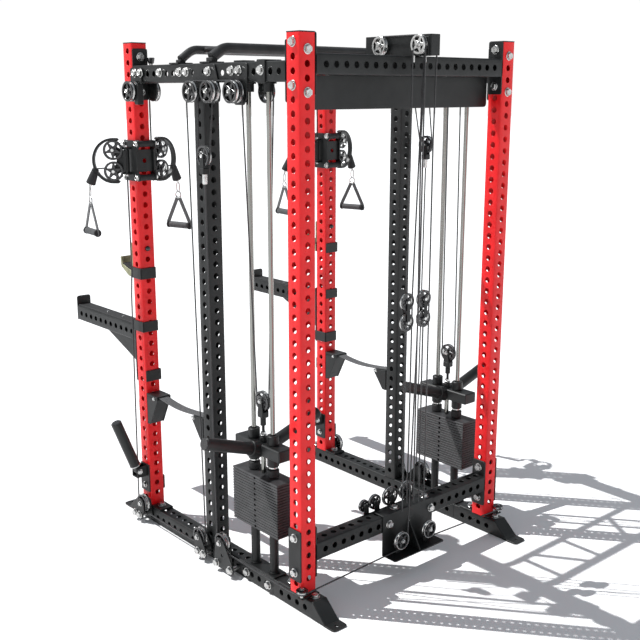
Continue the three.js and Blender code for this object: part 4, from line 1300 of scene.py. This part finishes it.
def build_trolley(side, sign):
    trolley = Piece(f"{side}_trolley_body", f"{side}_trolley")
    at = np.array([sign * HALF_WIDTH, -HALF_DEPTH, TROLLEY_Z])
    for face in (-1, 1):
        outline = rounded([
            (-70, -90), (70, -90), (70, -58), (58, -46), (58, 46), (70, 58), (70, 90),
            (-70, 90), (-70, 58), (-58, 46), (-58, -46), (-70, -58)], 8)
        side_plate(trolley, shifted(outline, at[1], at[2]), at[0] + face * (HALF + TROLLEY_CLEAR), face)
        cover = round_rectangle(at[0] - 44, at[2] - 49, at[0] + 44, at[2] + 49, 8)
        start = at[1] + (41 if face > 0 else -46)
        front_plate(trolley, cover, start, 5, holes=[(at[0], at[2], 10)])
        for level in (-1, 1):
            centre = at + (0, face * ROLLER_Y, level * ROLLER_Z)
            trolley.add(rod(centre - 39 * X, centre + 39 * X, 14, chamfer=2), RUBBER)
            for end in (-1, 1):
                trolley.add(ring(centre + end * 36 * X, X, 6, 16.5, 6, 1.5), BLACK)
                bolt(trolley, centre + end * (HALF + TROLLEY_CLEAR + PLATE) * X, end * X, 0.75)
            lug = at + (face * 61, 0, level * 56)
            trolley.add(box(lug - (17, 14, 5), lug + (17, 14, 5), 3), BLACK)
    for _, across, *_ in ARMS:
        pivot = at + across * PIVOT_OFFSET * X
        trolley.add(rod(pivot - 64 * Z, pivot + 64 * Z, 5, sides=16), STEEL)
        for level in (-1, 1):
            bolt(trolley, pivot + level * 61 * Z, level * Z, 0.55)
    trolley.add(rod(at + (0, -46, 0), at + (0, -62, 0), 9), STEEL)
    trolley.add(rod(at + (0, -60, 0), at + (0, -84, 0), 13, 17, 3), PLASTIC)
    trolley.finish(f"{side}_trolley")


def loop(centre, half_width, half_height, radius):
    """A closed wire loop in the XZ plane."""
    angles = np.linspace(0, 2 * math.pi, 28)
    route = [np.add(centre, (half_width * math.cos(a), 0, half_height * math.sin(a))) for a in angles]
    return sweep(route, radius, 10)


def arm_pivot(sign, across):
    return np.array([sign * HALF_WIDTH + across * PIVOT_OFFSET, -HALF_DEPTH, TROLLEY_Z])


def build_arm(side, sign, tag, across, yaw, plate_side):
    """An arm that swivels on the trolley, with its guard, two pulleys and the stop of the handle."""
    turn = spin(yaw)
    pivot = arm_pivot(sign, across)
    name = f"{side}_arm_{tag}"
    arm = Piece(f"{name}_body", name)

    def put(solid, material):
        arm.add(arm.moved(solid, turn, pivot), material)

    put(ring((0, 0, 0), Z, 5.6, 12.5, 99, 1.5), BLACK)
    put(box((-2, 5.5, -46), (14, 14, 46), 2), BLACK)
    put(box((-2, -14, -46), (14, -5.5, 46), 2), BLACK)
    for level in (-1, 1):
        put(box((10, -14, 42 * level - 4), (18, 14, 42 * level + 4), 1.5), BLACK)
    arm_plate = rounded([
        (0, -46), (16, -46), (48, -62), (68, -62), (70, -40), (48, -12), (48, 12), (70, 40), (68, 62),
        (48, 62), (16, 46), (0, 46)], 7)
    put(plate(arm_plate, 4, (0, 10.5 * plate_side + (4 if plate_side > 0 else 0), 0), X, Z), BLACK)
    for level in (-1, 1):
        axle = np.array([ARM_REACH, 0, level * ARM_PULLEY_Z])
        put(rod(axle - 15 * Y, axle + 15 * Y, 4.5, sides=16), STEEL)
        for face in (-1, 1):
            head = lathe([(0, 0), (7.5, 0), (8, 1), (8, 5), (6.5, 6), (0, 6)], 6)
            put((head[0] @ frame_along(face * Y).T + axle + 11 * face * Y, head[1]), STEEL)
    guard = [(ARM_REACH - 22, 0, GUARD_HEIGHT)]
    guard += [(ARM_REACH + GUARD_REACH * math.cos(a), 0, GUARD_HEIGHT * math.sin(a))
              for a in np.linspace(math.pi / 2, -math.pi / 2, 30)]
    guard += [(ARM_REACH - 22, 0, -GUARD_HEIGHT)]
    put(sweep(guard, 0, flat=(11, 5.5, Z)), BLACK)
    near, far = 10.5 * plate_side, 14.5 * plate_side
    for level in (-1, 1):
        put(block((ARM_REACH - 17, 0), (9, 14.5), 93 * level - 5, 93 * level + 5, 2), BLACK)
        put(box((ARM_REACH - 18, near, 55 * level), (ARM_REACH - 6, far, 98 * level), 1), BLACK)
    put(rod((140, 0, -36), (146, 0, -50), 15, 17, 2), BLACK)
    put(rod((145, 0, -48), (168, 0, -104), 17, 22, 4), RUBBER)
    put(rod((167, 0, -102), (HANDLE_REACH - 1, 0, -115), 6, sides=16), STEEL)
    rope = [(ARM_REACH + GROOVE * math.cos(a), 0, -ARM_PULLEY_Z + GROOVE * math.sin(a))
            for a in np.linspace(2.6, 0.35, 9)]
    put(sweep(rope + [(140, 0, -36)], CABLE_RADIUS, 10), SHEATH)
    arm.finish(name)

    for level, label in ((1, "upper"), (-1, "lower")):
        node = f"{name}_{label}_pulley"
        wheel = Piece(f"{node}_wheel", node)
        axle = np.array([ARM_REACH, 0, level * ARM_PULLEY_Z])
        pulley(wheel, turn @ axle + pivot, turn @ Y, 44, 17, heads=(), phase=0.3 * level)
        wheel.finish(node)


def build_handle(side, sign, tag, across, yaw, twist):
    """A grip between two straps that hang from the arm."""
    hang = arm_pivot(sign, across) + spin(yaw) @ np.array([HANDLE_REACH, 0, HANDLE_Z])
    turn = spin(yaw + twist)
    handle = Piece(f"{side}_handle_{tag}_grip", f"{side}_handle_{tag}")

    def hold(solid, material):
        handle.add(handle.moved(solid, turn, hang), material)

    hold(loop((0, 0, -22), 9, 23, 2.8), STEEL)
    hold(loop((0, 0, -58), 16, 15, 3), STEEL)
    hold(rod((-17, 0, -70), (17, 0, -70), 3, sides=12), STEEL)
    for end in (-1, 1):
        band = [(end * 6, 0, -66), (end * 9, 0, -76), (end * 68, 0, -190), (end * 71, 0, GRIP_Z),
                (end * 67, 0, -214)]
        hold(sweep(dense(band, 20), 0, flat=(9, 2.2, Y)), WEBBING)
        hold(ring((end * 64, 0, GRIP_Z), X, 6, 17, 8, 2), RUBBER)
    hold(rod((-59, 0, GRIP_Z), (59, 0, GRIP_Z), 15, chamfer=4, sides=28), FOAM)
    hold(rod((-74, 0, GRIP_Z), (74, 0, GRIP_Z), 6, sides=16), RUBBER)
    handle.finish(f"{side}_handle_{tag}", slot="webbing")


# ---- attachments ----
def hook_band(piece, at, low, high, sign):
    """A strip bent round the front, outer and rear faces of an upright."""
    inner = HALF + HOOK_CLEAR
    outer = inner + HOOK_THICKNESS
    piece.add(box(at + (-sign * HALF, -outer, low), at + (sign * outer, -inner, high), 1.5), BLACK)
    piece.add(box(at + (sign * inner, -outer, low), at + (sign * outer, outer, high), 1.5), BLACK)
    piece.add(box(at + (-sign * HALF, inner, low), at + (sign * outer, outer, high), 1.5), BLACK)


def build_cup(side, sign):
    at = np.array([sign * HALF_WIDTH, -HALF_DEPTH, CUP_PIN_Z])
    face = -(HALF + HOOK_CLEAR)
    cup = Piece(f"{side}_cup_body", f"{side}_j_cup")
    profile = rounded([
        (face, -140), (face - 40, -140), (face - 108, -102), (face - 112, -56), (face - 100, -54),
        (face - 92, -92), (face - 16, -112), (face - 7, -100), (face - 7, 22), (face, 22)],
        [2, 18, 16, 4, 5, 12, 16, 4, 3, 2])
    outline = shifted(profile, at[1], at[2])
    cup.add(plate(outline, 62, (at[0] - 31, 0, 0), Y, Z, chamfer=1.5), OLIVE)
    for x in (-36, 31):
        cup.add(plate(outline, 5, (at[0] + x, 0, 0), Y, Z), OLIVE)
    cup.add(box(at + (-34, face - 12, -96), at + (34, face - 6, 18), 2.5), RUBBER)
    floor = rounded([(face - 91, -92), (face - 14, -112), (face - 12, -103), (face - 89, -84)], 2, 2)
    cup.add(plate(shifted(floor, at[1], at[2]), 68, (at[0] - 34, 0, 0), Y, Z), RUBBER)
    hook_band(cup, at, -141, -89, sign)
    rear = HALF + 0.5
    cup.add(rod(at + (0, rear, 0), at + (0, rear + 16, 0), 12, 9, 4), PLASTIC)
    cup.finish(f"{side}_j_cup", slot="zinc")


def build_spotter(side, sign):
    at = np.array([sign * HALF_WIDTH, -HALF_DEPTH, SPOTTER_Z])
    face = -(HALF + HOOK_CLEAR)
    tip = face - SPOTTER_LENGTH
    arm = Piece(f"{side}_spotter_body", f"{side}_spotter_arm")
    holes = [tip + 38 + PITCH * k for k in range(11)]
    arm.add(perforated_tube(tip, face - 7, {0: holes, 2: holes}, tip + 38, ALONG_Y, at), BLACK)
    lip = rectangle(at[0] - HALF, at[2] - HALF, at[0] + HALF, at[2] + HALF + 48)
    lip = rounded(lip, [3, 3, 14, 14])
    front_plate(arm, lip, at[1] + tip - PLATE)
    back = round_rectangle(at[0] - HALF, at[2] - 235, at[0] + HALF, at[2] + 66, 6)
    front_plate(arm, back, at[1] + face - 8, 8)
    arm.add(box(at + (-33, tip + 1, HALF - 1), at + (33, face - 22, HALF + 5), 2), RUBBER)
    gusset = rounded([
        (face - 2, 1 - HALF), (face - 330, 1 - HALF), (face - 330, -HALF - 12), (face - 2, -178)], 6)
    arm.add(plate(shifted(gusset, at[1], at[2]), 8, (at[0] - 4, 0, 0), Y, Z), BLACK)
    for reach in (250, 400):
        bolt(arm, at + (0, tip + reach, HALF + 4), Z, 0.4)
    hook_band(arm, at, 16, 66, sign)
    hook_band(arm, at, -225, -172, -sign)
    arm.finish(f"{side}_spotter_arm")


def build_sleeve(side, sign):
    """Both sleeves stand on the +X side of their upright."""
    upright_x = sign * HALF_WIDTH
    at = np.array([upright_x + SLEEVE_X, -HALF_DEPTH, SLEEVE_Z])
    sleeve = Piece(f"{side}_sleeve_post", f"{side}_plate_sleeve")
    turn = tilt(SLEEVE_LEAN)
    for solid, material in (
            (rod((0, 0, 30), (0, 0, 284), 25, chamfer=2, sides=36), BLACK),
            (rod((0, 0, 282), (0, 0, 286), 21, chamfer=1.5, sides=36), PLASTIC),
            (box((-12, -16, 0), (12, 16, 34), 3), BLACK),
            (rod((0, -16, 0), (0, 16, 0), 15), BLACK),
            (ring((0, 0, 33), Z, 10, 27, 6, 1.5), STEEL)):
        sleeve.add(sleeve.moved(solid, turn, at), material)
    sleeve.finish(f"{side}_plate_sleeve")
    bracket = Piece(f"{side}_sleeve_bracket")
    outer, inner = upright_x + HALF, upright_x - HALF
    low = SLEEVE_Z - 115
    front, rear = -HALF_DEPTH - HALF, -HALF_DEPTH + HALF
    side_plate(bracket, round_rectangle(front, low, rear, SLEEVE_Z + 26, 7), outer, 1)
    side_plate(bracket, round_rectangle(front, low, rear, SLEEVE_Z - 45, 7), inner, -1)
    start = outer + 4
    for across in (-21, 21):
        low_corner = (start, at[1] + across - 3, SLEEVE_Z - 28)
        bracket.add(box(low_corner, (at[0] + 16, at[1] + across + 3, SLEEVE_Z + 22), 2), BLACK)
    bracket.add(box((start, at[1] - 24, SLEEVE_Z - 31), (at[0] + 16, at[1] + 24, SLEEVE_Z - 25), 2), BLACK)
    for face in (-1, 1):
        bolt(bracket, (at[0], at[1] + face * 24, SLEEVE_Z), face * Y, 0.7)
    bolt(bracket, (outer + PLATE, -HALF_DEPTH, SLEEVE_Z - 83), X, 0.8)
    bolt(bracket, (inner - PLATE, -HALF_DEPTH, SLEEVE_Z - 83), -X, 0.8)
    bracket.finish()


def build_strap(side, sign):
    """The strap lies in a slot of the front bracket, hangs free and is bolted to the rear bracket."""
    x = sign * HALF_WIDTH
    low_x, high_x = x - HALF, x + HALF
    face = -BEAM_END + GAP
    edge = face + STRAP_BRACKET_REACH
    slot_z = STRAP_Z - 8
    front = Piece(f"{side}_strap_front_bracket")
    cheek = rounded([
        (face, STRAP_Z - 150), (face + 24, STRAP_Z - 150), (edge, STRAP_Z - 18), (edge, STRAP_Z - 1),
        (face, STRAP_Z - 1)], [3, 8, 6, 3, 2])
    for start in (low_x, high_x - 5):
        front.add(plate(cheek, 5, (start, 0, 0), Y, Z), BLACK)
    front.add(box((low_x, face, slot_z - 8), (high_x, edge, slot_z - 2.5), 1.5), BLACK)
    front.add(box((low_x, face, STRAP_Z - 5), (high_x, edge, STRAP_Z - 0.5), 1.5), BLACK)
    front.add(box((low_x, face, STRAP_Z - 150), (high_x, face + 5, STRAP_Z - 1), 1.5), BLACK)
    skin = [(face + 22, STRAP_Z - 148), (edge - 2, STRAP_Z - 18), (edge - 7, STRAP_Z - 15),
            (face + 17, STRAP_Z - 145)]
    front.add(plate(skin, TUBE - 4, (low_x + 2, 0, 0), Y, Z), BLACK)
    keeper = round_rectangle(x - 30, STRAP_Z - 112, x + 30, STRAP_Z - 52, 5)
    front_plate(front, keeper, -HALF_DEPTH - HALF - 12, 12)
    front.finish(f"{side}_front_strap_bracket")

    back = MIDDLE_Y - HALF - GAP
    tip = back - STRAP_BRACKET_REACH
    top = STRAP_Z - 5
    rear = Piece(f"{side}_strap_rear_bracket")
    cheek = rounded([
        (back, STRAP_Z - 110), (back, top), (tip, top - 10), (tip, top - 18), (back - 26, STRAP_Z - 110)],
        [3, 3, 4, 4, 6])
    for start in (low_x, high_x - 5):
        rear.add(plate(cheek, 5, (start, 0, 0), Y, Z), BLACK)
    rear.add(box((low_x, back - 5, STRAP_Z - 110), (high_x, back, top), 1.5), BLACK)
    ramp = [(tip, top - 16), (back, top - 6), (back, top - 0.5), (tip, top - 10.5)]
    rear.add(plate(ramp, TUBE - 4, (low_x + 2, 0, 0), Y, Z), BLACK)
    rear.finish(f"{side}_rear_strap_bracket")

    strap = Piece(f"{side}_strap_band")
    land_z = top - 8
    route = [(x, face + 8, slot_z), (x, edge - 4, slot_z)]
    for t in np.linspace(0.04, 0.96, 18):
        straight = slot_z + (land_z - slot_z) * t
        route.append((x, edge + (tip - edge) * t, straight - STRAP_SAG * math.sin(math.pi * t)))
    route += [(x, tip + 4, land_z + 0.5), (x, back - 8, top + 1.6)]
    strap.add(sweep(dense(route, 30), 0, flat=(STRAP_WIDTH / 2, STRAP_THICKNESS / 2, Z)), WEBBING)
    band = strap.finish(f"{side}_safety_strap")
    bolts = Piece(f"{side}_strap_bolts")
    for way in (-1, 1):
        bolt(bolts, (x + way * HALF, edge - 28, STRAP_Z - 14), way * X, 0.45)
        bolt(bolts, (x + way * HALF, tip + 18, top - 14), way * X, 0.45)
    for z in (STRAP_Z - 40, STRAP_Z - 110):
        bolt(bolts, (x, face + 5, z), Y, 0.6)
    bolts.finish()


# ---- trainer cables ----
def flatten_with(piece):
    """Gives a vertical strand its own copy of its mesh."""
    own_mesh(piece)


STRAND_OFFSET = 39
FLOATING_PULLEY = (81, 67, 1796)


def build_inner_cables(side, sign):
    """The line up from the trolley, over two pulleys and down to the lifting pulley."""
    x = sign * HALF_WIDTH
    inner = x - sign * PIVOT_OFFSET
    z = TOP_PULLEY_Z
    front_y, rear_y = FRONT_INNER_Y - GROOVE, REAR_INNER_Y + GROOVE
    end = TROLLEY_Z - 10
    upper = [(inner, front_y, end)]
    upper += arc(inner, FRONT_INNER_Y, z, GROOVE, 180, 90) + arc(inner, REAR_INNER_Y, z, GROOVE, 90, 0)
    upper += [(inner, rear_y, z - 40)]
    cable(f"{side}_upper_line", "root", upper, replaced=(f"{side}_upper_cable",))
    hanging = [(inner, rear_y, z - 35), (x, STACK_Y + sign * STRAND_OFFSET, LIFT_PULLEY_Z)]
    strand = cable(f"{side}_inner_lifting_strand", "root", hanging)
    flatten_with(strand)
    riding = [(inner, front_y, TROLLEY_Z), (inner, front_y, end + TROLLEY_DROP + 10)]
    cable(f"{side}_upper_trolley_strand", f"{side}_trolley", riding, RIDING_RADIUS)


def build_outer_cables(side, sign):
    """The line from the lifting pulley along the beam, down to the low pulleys and up to the trolley."""
    x = sign * HALF_WIDTH
    outer = x + sign * OUTER_PULLEY_X
    low = x + sign * BASE_PULLEY_X
    stem = x + sign * PIVOT_OFFSET
    z = TOP_PULLEY_Z
    front_pulley, middle_pulley, _ = BASE_PULLEYS
    end = TROLLEY_Z - TROLLEY_DROP + 54
    rising = arc(x, STACK_Y, LIFT_PULLEY_Z, LIFT_GROOVE, 180, 360, 14)[1:]
    cable(f"{side}_lifting_wrap", f"{side}_carriage", rising)
    hanging = [(x, STACK_Y - sign * STRAND_OFFSET, LIFT_PULLEY_Z), (outer, REAR_OUTER_Y + GROOVE, z - 40)]
    strand = cable(f"{side}_outer_lifting_strand", "root", hanging)
    flatten_with(strand)
    lower = [(outer, REAR_OUTER_Y + GROOVE, z - 45)]
    lower += arc(outer, REAR_OUTER_Y, z, GROOVE, 0, 90) + arc(outer, MIDDLE_OUTER_Y, z, GROOVE, 90, 180)
    lower += [(outer, MIDDLE_OUTER_Y - GROOVE, z - 60)]
    lower += [(low, middle_pulley[0] + GROOVE, middle_pulley[1] + 60)]
    lower += arc(low, *middle_pulley, GROOVE, 0, -90) + arc(low, *front_pulley, GROOVE, -90, -180)
    lower += [(low, front_pulley[0] - GROOVE, front_pulley[1] + 60), (stem, -HALF_DEPTH - 12, 1120)]
    lower += [(stem, -HALF_DEPTH, 1240), (stem, -HALF_DEPTH, end)]
    cable(f"{side}_lower_line", "root", lower, replaced=(f"{side}_lower_cable",))
    riding = [(stem, -HALF_DEPTH, end - TROLLEY_RISE - 8), (stem, -HALF_DEPTH, TROLLEY_Z)]
    cable(f"{side}_lower_trolley_strand", f"{side}_trolley", riding, RIDING_RADIUS)


def build_floating_pulley(side, sign):
    """The pulley that hangs beside the middle upright and the run that it holds."""
    x = sign * HALF_WIDTH
    outer = x + sign * OUTER_PULLEY_X
    low = x + sign * BASE_PULLEY_X
    reach, y, z = FLOATING_PULLEY
    hang = x + sign * reach
    floating = Piece(f"{side}_floating_pulley")
    pulley(floating, (hang, y, z), X, 42, 20)
    outline = round_rectangle(y - 13, z - 66, y + 13, z + 10, 9)
    side_plate(floating, outline, hang + 11, 1, 3.5)
    side_plate(floating, outline, hang - 11, -1, 3.5)
    floating.add(block((hang, y), (16, 15), z - 72, z - 46, 3), BLACK)
    floating.add(rod((hang, y, z - 112), (hang, y, z - 69), 10, chamfer=2), STEEL)
    floating.finish()
    over = [(outer, 0, TOP_PULLEY_Z - 20)] + arc(hang, y, z, 39, 180, 360, 12)
    cable(f"{side}_floating_line", "root", over + [(outer, 100, TOP_PULLEY_Z - 38)])
    tall_y, tall_z = BASE_PULLEYS[-1]
    down = [(hang, y, z - 106), (low, tall_y - GROOVE, tall_z + 40)]
    down += arc(low, tall_y, tall_z, GROOVE, 180, 270)
    down += [(low, 560, tall_z - GROOVE), (low - sign * 2, 612, FLOOR_PULLEY[2] - 8)]
    cable(f"{side}_rail_line", "root", down)


# ---- the floor and the light ----
FLOOR_SIZE = 60
SKY = ((0.12, (1, 1, 1)), (0.3, (0.335, 0.36, 0.395)))
SKY_STRENGTH = 1.02
SUN_ENERGY = 4.4
SUN_ANGLE = math.radians(0.4)
SUN_DIRECTION = (-0.402, 0.500, -1)


def build_floor():
    surface = bpy.data.meshes.new("floor")
    size = FLOOR_SIZE
    surface.from_pydata(
        [(-size, -size, 0), (size, -size, 0), (size, size, 0), (-size, size, 0)], [], [(0, 1, 2, 3)])
    floor = bpy.data.objects.new("floor", surface)
    bpy.context.scene.collection.objects.link(floor)
    shader = Shader("floor", (0.9, 0.9, 0.9), 0.7, Specular_IOR_Level=0.1)
    shader.color(shader.noise(1.5, 2), [(0.3, (0.89, 0.89, 0.89)), (0.7, (0.92, 0.92, 0.92))])
    surface.materials.append(shader.material)


def build_light():
    """A sky that is white at the horizon and grey-blue overhead, and a small sun."""
    world = bpy.data.worlds.new("studio")
    world.use_nodes = True
    nodes, links = world.node_tree.nodes, world.node_tree.links
    split = nodes.new("ShaderNodeSeparateXYZ")
    links.new(nodes.new("ShaderNodeTexCoord").outputs["Generated"], split.inputs["Vector"])
    height = nodes.new("ShaderNodeValToRGB")
    set_stops(height, SKY)
    links.new(split.outputs["Z"], height.inputs["Fac"])
    background = nodes["Background"]
    links.new(height.outputs["Color"], background.inputs["Color"])
    background.inputs["Strength"].default_value = SKY_STRENGTH
    bpy.context.scene.world = world

    sun = bpy.data.lights.new("sun", "SUN")
    sun.energy = SUN_ENERGY
    sun.angle = SUN_ANGLE
    lamp = bpy.data.objects.new("sun", sun)
    lamp.rotation_mode = "QUATERNION"
    lamp.rotation_quaternion = Vector(SUN_DIRECTION).to_track_quat("-Z", "Y")
    bpy.context.scene.collection.objects.link(lamp)
    bpy.context.scene.view_settings.view_transform = "Standard"


build_uprights()
build_top_beams()
build_top_pulleys()
build_base_rails()
build_rear_members()
build_pull_up_bars()
build_lat_box()
build_row_station()
build_lat_cables()
for side_name, side_sign in SIDES:
    build_stack(side_name, side_sign)
    build_carriage(side_name, side_sign)
    build_trolley(side_name, side_sign)
    for arm_tag, arm_side, arm_yaw, handle_twist, arm_plate_side in ARMS:
        build_arm(side_name, side_sign, arm_tag, arm_side, arm_yaw, arm_plate_side)
        build_handle(side_name, side_sign, arm_tag, arm_side, arm_yaw, handle_twist)
    build_cup(side_name, side_sign)
    build_spotter(side_name, side_sign)
    build_sleeve(side_name, side_sign)
    build_strap(side_name, side_sign)
    build_inner_cables(side_name, side_sign)
    build_outer_cables(side_name, side_sign)
    build_floating_pulley(side_name, side_sign)
build_floor()
build_light()
